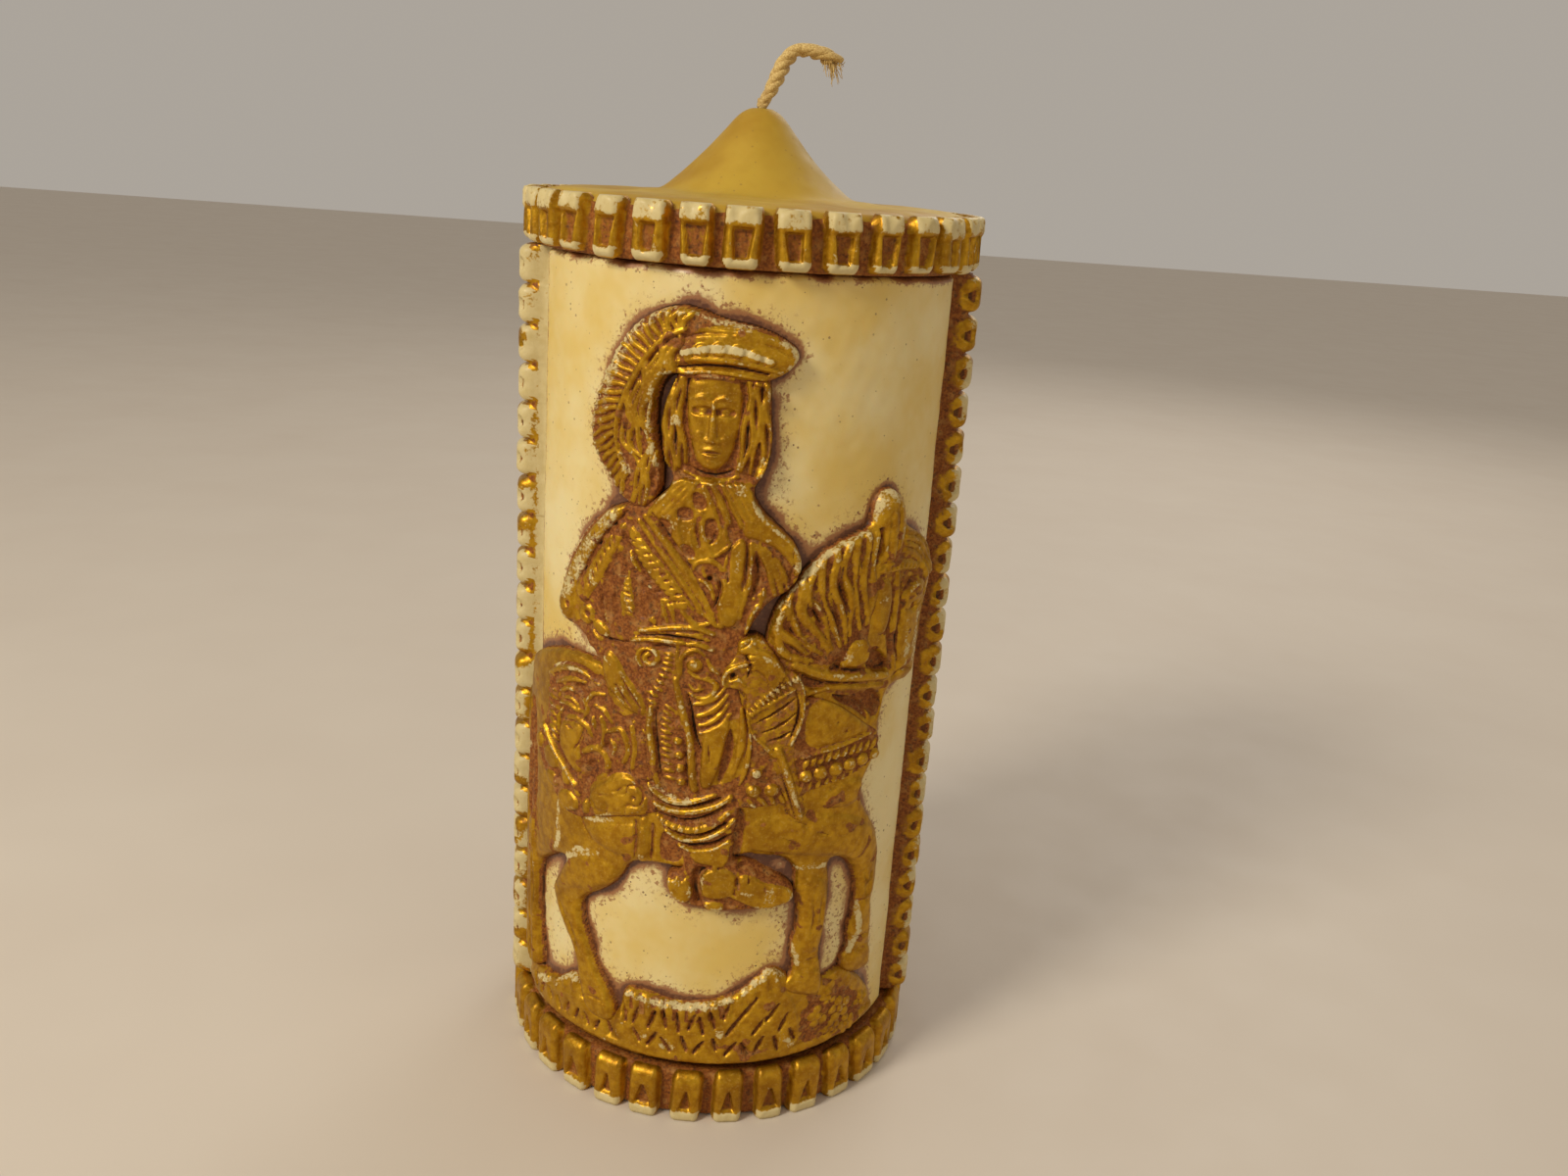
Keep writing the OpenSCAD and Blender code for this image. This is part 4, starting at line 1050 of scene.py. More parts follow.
for points in ([(11.6, 87), (13, 86), (14.8, 85.2), (16.4, 84.3), (14.8, 83.9), (12.4, 84.2)], [(17.2, 82.4),
        (19.6, 81.9), (21.6, 81.6), (23.4, 82.2), (24.2, 80), (25.6, 76), (24, 77.6), (21.6, 79.4), (19, 80.8)],
        [(16.2, 86.8), (17.6, 88.6), (18.6, 89), (19, 86.4)], [(24.2, 89.4), (26, 89.8), (27, 88), (26, 86),
        (23.8, 85.8)], [(24.6, 80.6), (28, 80.2), (28.6, 77.8), (27, 76.2), (25.6, 77.4)], [(12.9, 82.6), (14.4, 82.5),
        (13.8, 80.6), (13, 80.2)]):
    horse.sink(points, 0.75, 1.0, 0.4)
horse.rub([(19.4, 89), (19.3, 87), (22, 86.3)], 1.0, 0.7)
horse.rub([(21.4, 81.2), (23.4, 79.6), (25, 76.6)], 0.9, 0.7)
horse.wash([(6.3, 97), (9.5, 102.5), (14, 107), (19, 109.2), (23.3, 110), (24, 104), (24.2, 96), (24, 90), (19, 87.5),
    (12, 88), (8, 91)], 0.85)
horse.wash([(24.2, 104), (30.5, 109), (36, 107.5), (40, 103), (38, 97), (31, 97), (31, 84), (28.5, 84), (28.3, 91),
    (24.5, 91.3)], 0.6)
horse.wash([(12, 84.5), (20, 85), (29, 81.5), (28.6, 76), (23, 78.6), (17, 82.6)], 0.6)
horse.wash([(-43.5, 73), (-39.3, 73), (-38, 62), (-37.2, 50), (-38.6, 40), (-39, 25), (-37.4, 17), (-43.5, 17)], 0.7,
    1.5)
horse.wash([(9.5, 62), (15.5, 62), (16, 56.8), (13.5, 54), (9, 55)], 0.35, 1.2)
for points in ([(32.6, 94), (33.2, 88), (33, 84)], [(35.6, 94), (35.6, 88), (35.4, 83.5)], [(37.4, 100), (38.6, 97),
        (37.6, 91)], [(24.2, 114), (27, 115.6), (29.4, 113)], [(29, 112), (29.2, 108)], [(19.6, 90), (19.8, 87.6)]):
    horse.rub(points, 2.4, 0.62)
for points in ([(6.8, 98), (9.5, 102), (13, 105.8), (17, 108.6), (22, 110.2)], [(23.4, 112), (24.6, 116), (27.6, 116.6),
        (29.8, 113.5)], [(-33, 38.5), (-31, 42), (-27.5, 46.6), (-21, 49.5)], [(-28, 47.2), (-23, 49.8)],
        [(-31.5, 34.6), (-28, 29.5), (-26, 25)], [(13.2, 50.6), (19, 50.2)], [(28.3, 58), (31.3, 53.5), (32.2, 45)],
        [(-23.5, 55.5), (-18, 56.8)], [(40.3, 103), (40.7, 99), (38.8, 94), (38.2, 86)], [(-30.5, 56), (-30.5, 49),
        (-31.5, 46)], [(26.3, 30), (28, 34), (27.5, 40)], [(14, 35), (15.2, 31)]):
    horse.rub(points, 2.0, 0.74)

# %% [markdown]
# ### The saddle cloth
# A heavy cloth lies over the horse's back and hangs down both sides. It is full of scrolls, with a
# beaded border, flowers along its hem and a large curled leaf in its corner.

# %% Saddle cloth
cloth = Casting("saddle_cloth", [(-34.5, 80.5), (-30, 83.3), (-25, 84), (-21, 82.5), (-8, 82), (2, 79), (11, 82.5),
    (15, 82.8), (18.5, 81.2), (22, 78.7), (25.5, 75.8), (28, 74.3), (28.8, 71.5), (27.8, 68.3), (22, 66.3), (15, 65.3),
    (11, 63), (4, 62.5), (-8, 61), (-12, 59.3), (-17, 58), (-21, 56.5), (-24.5, 54.8), (-28.5, 54.6), (-31, 56.5),
    (-35, 59.5), (-38.3, 63.5), (-37.8, 68), (-34.6, 70.5)], 1.4, 2.25, 1.0, 0.85)
cloth.mound([(13, 73.3), (13.5, 81.5), (17, 81.8), (23.5, 77), (25.5, 74.8), (19, 73.8)], 0.35, 2)
cloth.wash([(12.5, 73), (13, 82), (17, 82.2), (24, 77.2), (26.5, 74.6), (19, 73.4)], 0.1)
cloth.ridge([(12.8, 71.9), (16.5, 72.7), (20.5, 73.3), (25.5, 74.2)], 0.9, 0.7, (0.8, 0.6))
cloth.ticks([(13.5, 70.7), (17.5, 71.4), (22, 71.8), (26.5, 71.9)], 10, 1.9, 0.95, 0.65, 60)
cloth.groove([(13.5, 69.9), (17, 70.2), (21, 70.7), (26, 70.9)], 0.6, 0.5)
for x, z, size in ((13.6, 68.3, 1.15), (16.2, 68.6, 1.3), (19, 68.8, 1.3), (21.7, 69.2, 1.2), (24.3, 69.5, 1.2),
        (26.9, 69.9, 1.1), (5.2, 66.1, 1.2), (8.1, 66.3, 1.2), (5.4, 69.4, 1.0)):
    cloth.bead(x, z, size, 0.95)
cloth.ticks([(13, 66.4), (17, 66.6), (21, 67), (25.5, 67.6)], 9, 1.5, 0.75, 0.5, 70)
cloth.ticks([(5, 63.8), (7.5, 64.3), (10, 64.2)], 4, 2.3, 0.9, 0.6, 120)
cloth.groove([(18.5, 77.5), (19, 77.3)], 0.8, 0.4)
cloth.groove([(20.3, 75.6), (20.8, 75.5)], 1.2, 0.5)
for points, width in (([(-33.5, 79.5), (-29.5, 81.8), (-25, 82.6), (-21, 81.3)], 1.2), ([(-31, 78.7), (-27.5, 80.4),
        (-24, 80.9)], 1.0), ([(-29.8, 77.6), (-27.6, 78.7), (-25.6, 78.3)], 0.9), ([(-28.8, 76.6), (-27, 77),
        (-25.4, 76)], 0.8), ([(-29.8, 75.4), (-27.6, 75.7), (-25.6, 75.3), (-23.6, 75.6)], 1.0), ([(-27.8, 73.3),
        (-25.6, 73.7), (-23.4, 73), (-22.4, 71.6)], 1.2), ([(-24.2, 77.6), (-23.4, 76.2), (-24, 74.8)], 1.0),
        ([(-21.8, 77.4), (-19.8, 76.8), (-18.5, 75.2)], 0.9), ([(-18.9, 73.5), (-17, 74.4), (-15.8, 73), (-15.4, 70.6),
        (-16.1, 68.6)], 1.2), ([(-20.6, 75.6), (-19.7, 72.6), (-20.4, 70.2)], 1.3), ([(-24, 68.2), (-22.3, 69.4),
        (-20.4, 69.5), (-19, 67.8), (-19.4, 65.4), (-20.9, 64.2)], 1.4), ([(-18.5, 72), (-17.7, 71), (-18.1, 69.5)],
        0.9), ([(-22.2, 75), (-21.8, 73.2)], 0.9), ([(-14.9, 75.4), (-14.2, 72), (-14.5, 68)], 1.1), ([(-18, 77.6),
        (-15.9, 77.3), (-14.6, 76.3)], 0.9), ([(-24, 76.9), (-22.4, 79.3), (-20, 79.8)], 0.9), ([(-29.4, 74.3),
        (-30.2, 72.6), (-30.4, 70)], 0.9)):
    cloth.ridge(points, width, 0.6, (0.7, 0.6))
cloth.plate([(-29.6, 72), (-27, 72.8), (-24.8, 73.2), (-23.9, 71.4), (-25.3, 68.6), (-24.3, 66.2), (-24.4, 64),
    (-26, 63.9), (-28.3, 65.8), (-29.9, 68)], 0.6, 0.5)
cloth.groove([(-26.4, 67.6), (-25.2, 69.4), (-24.2, 71.8)], 0.6, 0.6)
cloth.groove([(-28, 71.8), (-26.4, 71.6)], 0.8, 0.7)
for points in ([(-34.8, 65.2), (-32, 66.3), (-29.6, 63.6), (-31.6, 61.8), (-34, 62.8)], [(-33.8, 61.3), (-31.2, 61.4),
        (-29.7, 60), (-31, 58.6), (-33.4, 59.2)], [(-29.3, 63), (-27.7, 63), (-26.7, 60.9), (-28.7, 60.1)],
        [(-29.9, 58.8), (-27, 59.8), (-24.8, 58.3), (-25, 56.5), (-28, 55.5), (-30, 56.8)], [(-26.2, 62), (-25, 61.7),
        (-24.2, 59.5), (-25.8, 59.2)], [(-24, 58.9), (-22.8, 59.6), (-22.2, 57.4), (-23.8, 56.2)], [(-37.8, 66.4),
        (-35.6, 67.6), (-35, 65), (-36.6, 63.8)], [(-37.6, 69.6), (-35.2, 70.4), (-34.4, 68.4), (-36.4, 67.8)]):
    cloth.plate(points, 0.6, 0.6)
cloth.sink([(-26.6, 80), (-24, 80.3), (-22.6, 79), (-24.5, 78), (-26.7, 78.2)], 0.6)
cloth.sink([(-23.3, 66.7), (-21, 67.4), (-20.2, 65.6), (-22.5, 62.7), (-24, 63.3)], 0.6)
cloth.sink([(-19.9, 73.5), (-18.7, 72.8), (-18.8, 69.5), (-20, 70.5)], 0.5)
cloth.ticks([(-32.3, 77), (-31.7, 73.5), (-31.6, 70), (-32, 67)], 8, 2.6, 0.85, 0.6, 75)
cloth.groove([(-30.2, 77), (-30, 73), (-30.2, 69), (-30.8, 66.8)], 0.7, 0.7)
cloth.ridge([(-34.6, 69.2), (-31.5, 66.2), (-28.5, 63.8), (-25.9, 61.3)], 1.1, 0.85, (0.8, 0.8))
cloth.groove([(-33.3, 69.3), (-30.6, 66.6), (-27.5, 64.3), (-25.4, 62.4)], 0.8, 0.8)
cloth.plate([(-22.8, 62.3), (-20.2, 64.4), (-17.5, 66.3), (-14.8, 67), (-12.4, 65), (-11.4, 62), (-11.8, 60),
    (-14, 58.8), (-17.6, 57.8), (-20, 56.6), (-21.6, 57)], 0.55, 0.8)
cloth.groove([(-17, 62.8), (-15.3, 63.2), (-14.9, 64.7), (-13.2, 64.9), (-12.3, 63.3), (-13, 61.4), (-14.9, 61.2),
    (-15.6, 59.3)], 0.6, 0.8)
cloth.groove([(-21.8, 60.4), (-20.6, 58.4)], 0.6, 0.6)
cloth.groove([(-19.2, 59.2), (-18.6, 60.8)], 0.6, 0.6)
cloth.mound([(-22.6, 58.3), (-22, 62), (-18.5, 64.8), (-14.6, 66.8), (-12.4, 65.3), (-11.6, 61.3), (-14, 59.4),
    (-18, 58.8)], 0.55, 1.3)
cloth.wash([(-22.3, 58.5), (-21.6, 62.3), (-18, 65), (-14.6, 66.5), (-11.6, 61.3), (-14, 59.4)], 0.15)
cloth.bead(-13.8, 62.8, 0.45, 0.8, True)
for points in ([(-18.4, 62.9), (-16.8, 63.3), (-15.6, 64.5), (-14, 65)], [(-15.3, 60.8), (-14, 61.3)], [(-15.6, 58.9),
        (-15.2, 60.3)], [(-18.8, 58.6), (-18.3, 60.5)], [(-22, 58.2), (-22.2, 60)], [(-20.8, 61.3), (-18.8, 61.9)]):
    cloth.groove(points, 0.6, 0.6)
cloth.ridge([(-20.5, 60.6), (-18.6, 61.2), (-17.7, 61.9)], 0.9, 0.5)
for points in ([(-37.5, 68.5), (-38, 64), (-35, 60)], [(-34, 80.5), (-29, 83.2)], [(-30, 56.3), (-27, 55)],
        [(-20.5, 57.2), (-16, 58.6)]):
    cloth.rub(points, 1.8, 0.66)

# %% [markdown]
# ### The rider
# The rider sits facing us: a short slashed coat with a wide sash across the chest, puffed sleeves,
# gathered breeches and high boots with turned-down cuffs. The folds are long ridges side by side.

# %% Rider: body, sash and coat
rider = Casting("rider", [(-19, 113), (-14, 113.7), (-9.5, 118), (-12, 121), (-12.6, 125), (-12.5, 129), (-10.5, 134.5),
    (-8, 138), (2, 138), (4.2, 134.5), (4.2, 130), (4.9, 125), (4, 119.8), (2, 117.3), (4, 114), (7, 111.4),
    (10, 108.5), (11, 104.5), (9, 101), (5.5, 99), (3.4, 95), (2.2, 92), (1.8, 87), (2.6, 82), (4.5, 78), (5, 74),
    (4.5, 68.5), (3, 66), (3.6, 62), (2.6, 58), (3, 55), (2.6, 52.9), (5.5, 52.6), (9, 50.2), (13, 47.9), (14, 45.6),
    (12, 43.2), (6, 43), (2, 42.9), (-0.6, 42.6), (-2.6, 43.4), (-5.4, 43.6), (-7.6, 45.2), (-8.6, 48), (-7.8, 50),
    (-5.4, 50.4), (-6, 54), (-9, 57), (-11, 61), (-12.5, 65.6), (-12.8, 70), (-13.6, 76), (-16, 75.4), (-18.5, 76.6),
    (-20.6, 80.5), (-21.4, 85), (-24, 87.3), (-26.5, 90), (-29.3, 89.7), (-31.5, 92.3), (-31.2, 95.5), (-29.5, 101),
    (-26.3, 106.5), (-23, 110.5)], 1.1, 2.15, 1.2, 0.85)
for points, width in (([(-14, 111.8), (-11.5, 109), (-9, 106), (-7.3, 103.8), (-5.5, 101), (-4, 98.5), (-2.8, 96)],
        1.7), ([(-15, 111), (-12.5, 107.8), (-10, 105), (-8, 102.5), (-6, 99.5), (-4.5, 97)], 1.3), ([(-16, 109.5),
        (-13.5, 106.5), (-11, 104), (-9.2, 101.8), (-7.5, 99.5), (-5.8, 97.5)], 0.8), ([(-7.5, 96.8), (-6.2, 95.6),
        (-5, 94.8), (-3.4, 95.3)], 1.1), ([(-4.6, 97), (-3.2, 96.2), (-2.2, 94.9)], 1.0), ([(0.8, 109.3), (0.5, 106),
        (0.2, 103), (-0.5, 100), (-1.5, 95)], 1.9), ([(2.3, 109), (2.6, 104), (1.8, 100), (1.2, 96.5)], 1.0),
        ([(-6.2, 104.2), (-5.5, 105.3), (-4, 105.8), (-2.5, 105.3), (-1.7, 104.3)], 1.0), ([(-5, 102.4), (-4, 102),
        (-3.2, 101), (-2.8, 99.5)], 0.9), ([(-1.6, 103), (-1.4, 101), (-2, 98.6)], 0.8), ([(-5.3, 113.5), (-4.9, 111),
        (-4.3, 108.5), (-3.3, 106.5)], 1.1), ([(-8.5, 113), (-8.8, 110.5), (-7.9, 108)], 1.0), ([(-3, 106.5),
        (-1.5, 107.8), (-0.7, 108.6)], 0.8), ([(-6.8, 110.5), (-6.6, 108.5), (-5.7, 106.6)], 0.8), ([(-1.6, 112),
        (-1.5, 110), (-0.8, 108.8)], 0.8), ([(-13.2, 98), (-12.5, 96), (-11.8, 94.2)], 1.1), ([(-10.8, 98.3),
        (-10.3, 96.4), (-9.7, 94.8)], 0.8), ([(3.8, 98.8), (2.9, 96.5), (2.4, 94)], 0.9)):
    rider.ridge(points, width, 0.6, (0.6, 0.6))
rider.plate([(-12.8, 112.6), (-10, 113.8), (-8, 115.6), (-6, 118), (-4, 117), (-3.2, 114), (-2, 111.5), (-0.6, 109.5),
    (-1.4, 108.2), (-3, 106.4), (-4.5, 105.6), (-6.4, 104.6), (-8, 106), (-9.8, 108.4), (-11.8, 110.8)], 0.3, 0.8, 0.35)
rider.plate([(-16, 110.3), (-13.2, 106.5), (-10.5, 103.5), (-8.5, 100.6), (-6.2, 97.4), (-8.2, 97), (-11, 99.6),
    (-13.5, 101.8), (-15, 104.8), (-16.8, 108)], 0.45)
rider.ticks([(-16.3, 107.4), (-14.3, 103.6), (-12, 100.8), (-9.2, 98.2)], 11, 1.9, 0.5, 0.55, 62, True)
rider.ticks([(-15, 108), (-12.4, 104.6), (-9.8, 101.8), (-7.4, 98.6)], 10, 1.5, 0.45, 0.4, 62, True)
rider.plate([(-1.6, 95), (-2.2, 98), (-1.9, 101), (-1.3, 103.6), (-1.5, 105.9), (-0.6, 108.3), (0.8, 109.9),
    (1.7, 108.8), (1.8, 104), (1.3, 99), (0.8, 95)], 0.7)
rider.plate([(1, 113), (4, 113.4), (7.5, 111.2), (9.8, 108.4), (10.6, 105), (9.4, 103.4), (8.4, 106.2), (6, 108.5),
    (3.4, 109.8), (1, 110)], 0.7, 0.9)
rider.plate([(-17.8, 101.6), (-15.8, 101.4), (-14.9, 95), (-17, 94.4)], 0.35, 0.4, 0.5)
rider.plate([(-14.6, 99.3), (-13.2, 99), (-11.6, 94.4), (-13, 94.2)], 0.5)
rider.groove([(-17.4, 108), (-15.5, 104.7), (-13.5, 102.3), (-11.3, 100.1), (-8.8, 98)], 0.8, 0.8)
for points in ([(-13, 112.7), (-10.4, 109.3), (-8, 106.4), (-6.3, 104)], [(-3.5, 103.3), (-2.5, 103), (-1.9, 102),
        (-1.8, 100.8), (-2.3, 99), (-2.7, 98)], [(-0.7, 108.3), (-0.9, 105), (-0.8, 102.6)], [(1.7, 109), (1.7, 105),
        (1.2, 101)], [(3.3, 108), (3.6, 103), (2.8, 99.5)], [(-3.8, 108.6), (-3.1, 109.5), (-2.6, 111)], [(-5.9, 112.5),
        (-5.8, 110), (-5.2, 107.8)]):
    rider.groove(points, 0.7, 0.65)
rider.bead(-3.6, 102.7, 0.55, 0.9, True)
for points in ([(-9, 114), (-6.5, 114), (-6.5, 112), (-9, 112)], [(-12, 112), (-9.8, 111.5), (-9.6, 108.6),
        (-11.4, 109)], [(-4.8, 112.6), (-2.9, 112.6), (-2.8, 109.6), (-4.6, 109.2)], [(-7, 116.8), (-4.9, 116.4),
        (-4.4, 114), (-6.6, 114)], [(-8.4, 108.2), (-6.6, 108), (-5.6, 106.2), (-7.4, 105.8)], [(3, 107.5),
        (5.5, 103.8), (3.5, 99.7), (2.7, 103)]):
    rider.sink(points, 0.55, 1.0, 0.4)
rider.sink([(-16.6, 103), (-14.3, 102.6), (-11.6, 99.6), (-11.2, 95.8), (-13.2, 94.3), (-15.2, 95), (-15.9, 99)], 0.4,
    0.8)
rider.ticks([(-17, 101.2), (-16.5, 98.5), (-15.9, 95.3)], 7, 1.5, 0.4, 0.4, 70, True)
rider.ridge([(-18.1, 101.5), (-17.7, 98), (-17.1, 94.6)], 0.7, 0.45)

for points in ([(-21.3, 99.5), (-20.6, 97), (-20.9, 94.6), (-19.9, 92.6)], [(-19.9, 101.4), (-19.2, 98.8),
        (-19.6, 96.4), (-18.6, 93.8)], [(-20.6, 104.6), (-19.4, 102.8), (-18.5, 100.4), (-18.6, 97.4)], [(-18.9, 107),
        (-17.9, 105.2), (-17.4, 103)], [(-16.2, 105.6), (-15.6, 103.9), (-14.5, 102.4)], [(-14.3, 102), (-13.4, 100.6),
        (-12.2, 99.6)], [(-16.6, 102.4), (-15.9, 101.4), (-14.6, 100.7)], [(-10.6, 98.8), (-9.3, 97.2), (-8.6, 95)],
        [(2.2, 106.6), (3.2, 104.8), (3.4, 102.2), (4.2, 100)], [(4.6, 107.2), (5.2, 105), (5.6, 102.6)], [(4.2, 103),
        (4.6, 100.6), (3.8, 98)], [(6.6, 106.4), (7.3, 104), (7.1, 101.8)]):
    rider.ridge(points, 0.95, 0.5, (0.5, 0.5))
# %% Rider: collar and sleeves
rider.strands([[(-13.3, 112.3), (-11, 115.8), (-9.5, 117.6), (-7.7, 118.6)], [(-10.6, 112), (-8.8, 114), (-7.4, 116),
    (-6.3, 118.2)]], 4, 1.15, 0.6, (0.8, 0.5))
rider.strands([[(-5.2, 117.5), (-4.4, 116), (-3.8, 114.5), (-3.2, 113)], [(-2.6, 118.5), (-1.5, 116.5), (-0.3, 114),
    (0.8, 111.7)], [(-0.5, 118.6), (1, 115.7), (2.5, 113), (4, 111.5)], [(1, 118.2), (3, 115.2), (5, 112.9),
    (7.2, 111.2)]], 7, 1.2, 0.65, (0.6, 0.8))
rider.plate([(-18.6, 113.2), (-22.5, 109.5), (-26.4, 104.2), (-29.3, 98.4), (-30.6, 95), (-28.4, 93.6), (-26.4, 97.4),
    (-24, 102.2), (-21, 107), (-17.6, 111.4)], 0.55, 0.8, 0.6)
rider.ticks([(-19.4, 111.6), (-23, 107), (-26.2, 102), (-28.8, 96.6)], 13, 1.3, 0.4, 0.4, 35, True)
rider.plate([(-16.8, 111), (-20.4, 107), (-23.6, 102), (-26, 97.4), (-24, 95.8), (-21.6, 99.4), (-19.8, 103.4),
    (-17.8, 107.2)], 0.5, 0.5)
rider.ticks([(-18.4, 108.4), (-21.2, 104), (-23.8, 98.6)], 8, 1.5, 0.5, 0.55, 40, True)
rider.groove([(-17.2, 112), (-20.9, 107.6), (-24, 102.6), (-26.4, 98)], 0.8, 0.9)
for points in ([(-30.9, 95.2), (-28.8, 97), (-27.2, 95), (-27.6, 91.6), (-29.6, 90.4), (-31.1, 92.4)], [(-26.6, 98.6),
        (-24.2, 98.8), (-23.4, 96.2), (-25, 94.6), (-26.6, 95.8)], [(-25.6, 94.4), (-23.6, 95.2), (-22.2, 93.2),
        (-23.6, 91), (-25.8, 91.8)], [(-22.8, 92.8), (-20.6, 92.4), (-19, 90.8), (-20.8, 88.9), (-23, 89.6)]):
    rider.plate(points, 0.6, 0.7)
for points in ([(-21, 110.2), (-19.4, 108.6), (-18.6, 109.6)], [(-24.2, 106.6), (-22.4, 104.8), (-21.8, 106.2)],
        [(-26.9, 101.6), (-25.2, 99.8), (-24.6, 101.4)], [(-28.8, 97.2), (-27.2, 96.8), (-27, 98.6)], [(-29.4, 94.2),
        (-28.4, 92.6), (-27.8, 94.2)], [(-24.8, 93.6), (-23.6, 92.2), (-23.2, 93.8)]):
    rider.sink(points, 0.5, 1.0, 0.4)
rider.sink([(-19.6, 103.6), (-17.6, 106), (-16, 103), (-17.6, 99), (-17.6, 93.6), (-20.6, 93.6), (-22, 97.6)], 0.35,
    0.9)
rider.groove([(-23.6, 92.3), (-21.6, 90.2), (-18.8, 89.6), (-16, 90)], 0.9, 0.9)
rider.groove([(-21.8, 97.8), (-21.2, 95), (-20.2, 92)], 0.8, 0.8)
rider.strands([[(2.6, 109), (4.4, 106.6), (5.6, 103.4), (6.4, 100.6)], [(4.4, 108.4), (6.2, 106.4), (7.6, 104),
    (8.4, 101.8)]], 3, 1.1, 0.5, (0.6, 0.7))
rider.groove([(8.6, 108), (9, 105), (7.9, 102)], 0.6, 0.5)

# %% Rider: left hand, belt and coat skirts
rider.plate([(-20.9, 86.6), (-19.4, 88), (-17.7, 86.9), (-16, 83.6), (-14, 81.2), (-12.3, 79), (-13.1, 77.7), (-15, 78),
    (-17.4, 79.2), (-19.9, 81.5)], 0.75, 1.1)
for points in ([(-16.9, 83.8), (-15.2, 81.2), (-13.3, 79.1)], [(-17.9, 82.4), (-16.4, 80.3), (-14.8, 78.7)],
        [(-18.9, 81.4), (-17.7, 79.9), (-16.5, 79)]):
    rider.groove(points, 0.65, 0.9)
for points in ([(-14, 92.6), (-11, 93.4), (-8, 94.1), (-5, 94.3), (-2.6, 93.6)], [(-15.3, 90.7), (-12.5, 91.4),
        (-9, 91.6), (-7, 91.6)], [(-6.3, 91.4), (-5, 91.7), (-2.6, 90.9)]):
    rider.ridge(points, 1.1, 0.7, (0.8, 0.8))
rider.ridge([(-12.8, 92.1), (-9, 92.8), (-6, 93), (-3, 92.4)], 0.7, 0.45)
rider.groove([(-14.5, 91.5), (-11, 92.3), (-7.5, 92.4), (-4, 92.2)], 0.6, 0.7)
rider.groove([(-14.2, 89.7), (-10, 90.5), (-7.5, 90.4)], 0.6, 0.6)
rider.curl(-12.4, 88.2, 2.1, 1.35, 230, 0.95, 0.75, -1)
rider.ticks([(-9, 89.3), (-9.3, 87.6), (-9.9, 85.4), (-10.8, 83), (-11.8, 80.6)], 9, 1.5, 0.75, 0.6, 90)
rider.ridge([(-8, 91.8), (-7.8, 88), (-7.5, 85.6)], 0.9, 0.65)
rider.ridge([(-7.2, 86), (-7.3, 88.5), (-6.5, 90), (-5, 90.6), (-3.6, 89.8)], 0.9, 0.7)
rider.bead(-5.2, 88, 1.25, 0.85)
rider.ridge([(-6, 86.8), (-5, 86.1), (-3.5, 85.8), (-2, 85.3), (-1.7, 84.2), (-2.5, 82.9), (-4, 82.3), (-5.7, 83)], 1.0,
    0.75)
rider.ridge([(-5.9, 84.6), (-4.9, 83.6), (-3.6, 84)], 0.7, 0.5)
rider.ridge([(-3.3, 89.2), (-2.4, 87.6), (-1.2, 86.8)], 0.9, 0.6)
rider.strands([[(-5, 81.2), (-3.5, 81.6), (-1.5, 82.8), (-0.2, 84.6)], [(-4.1, 78.2), (-2.6, 78.9), (-1, 80.4),
    (0.4, 82.8)], [(-3.8, 76.2), (-2.2, 76.6), (-0.6, 77.8), (0.8, 80)]], 4, 1.15, 0.65)
rider.groove([(-6, 82.5), (-5.3, 80), (-4.8, 77), (-4.2, 75), (-3.4, 73)], 0.9, 1.0)
rider.ridge([(-8, 85), (-7.3, 82), (-6.5, 79), (-5.5, 75.5), (-5, 72), (-4.6, 68), (-4.2, 66)], 1.5, 0.7, (0.7, 0.9))
rider.ridge([(-11.8, 79.5), (-12, 76), (-11.3, 72), (-10.8, 68), (-10, 65.8)], 1.2, 0.65, (0.8, 0.8))
rider.groove([(-10.4, 81), (-11, 78), (-10.8, 75), (-10.4, 72), (-9.9, 68.5), (-9, 65.6)], 0.7, 0.8)
rider.ticks([(-8.7, 80), (-9.2, 77), (-9, 74), (-8.7, 71), (-8, 67.5)], 12, 1.7, 0.7, 0.5, 70)
for x, z in ((-7.2, 77), (-7.2, 74.3), (-6.9, 71.8), (-6.6, 69.4), (-6.3, 67)):
    rider.bead(x, z, 0.75, 0.65)
rider.groove([(-6.3, 78), (-5.9, 74), (-5.6, 70), (-5.2, 66)], 0.5, 0.6)
rider.ticks([(-13, 75), (-12.9, 71), (-12, 66.6)], 7, 1.2, 0.6, 0.4, 60)
rider.plate([(-3.3, 75.8), (-2.4, 77), (-0.4, 78), (0.6, 79.6), (0.8, 76.4), (0, 72.5), (-0.9, 69), (-1.7, 66.4),
    (-3.4, 66.3), (-3.3, 71)], 0.65, 0.6)
rider.groove([(-2.4, 74.6), (-2, 71)], 0.5, 0.5)
rider.sink([(1.3, 77.5), (2, 74.3), (1.5, 71), (0.6, 68.6), (-0.5, 66.4), (-0.9, 69), (-0.2, 73), (0.3, 77)], 0.6, 0.9,
    0.8)
rider.strands([[(2.6, 81), (2.8, 77), (2.6, 73), (1.8, 69)], [(4.2, 77.8), (4.4, 74), (4, 70.5), (2.9, 67.2)]], 2, 1.5,
    0.65)

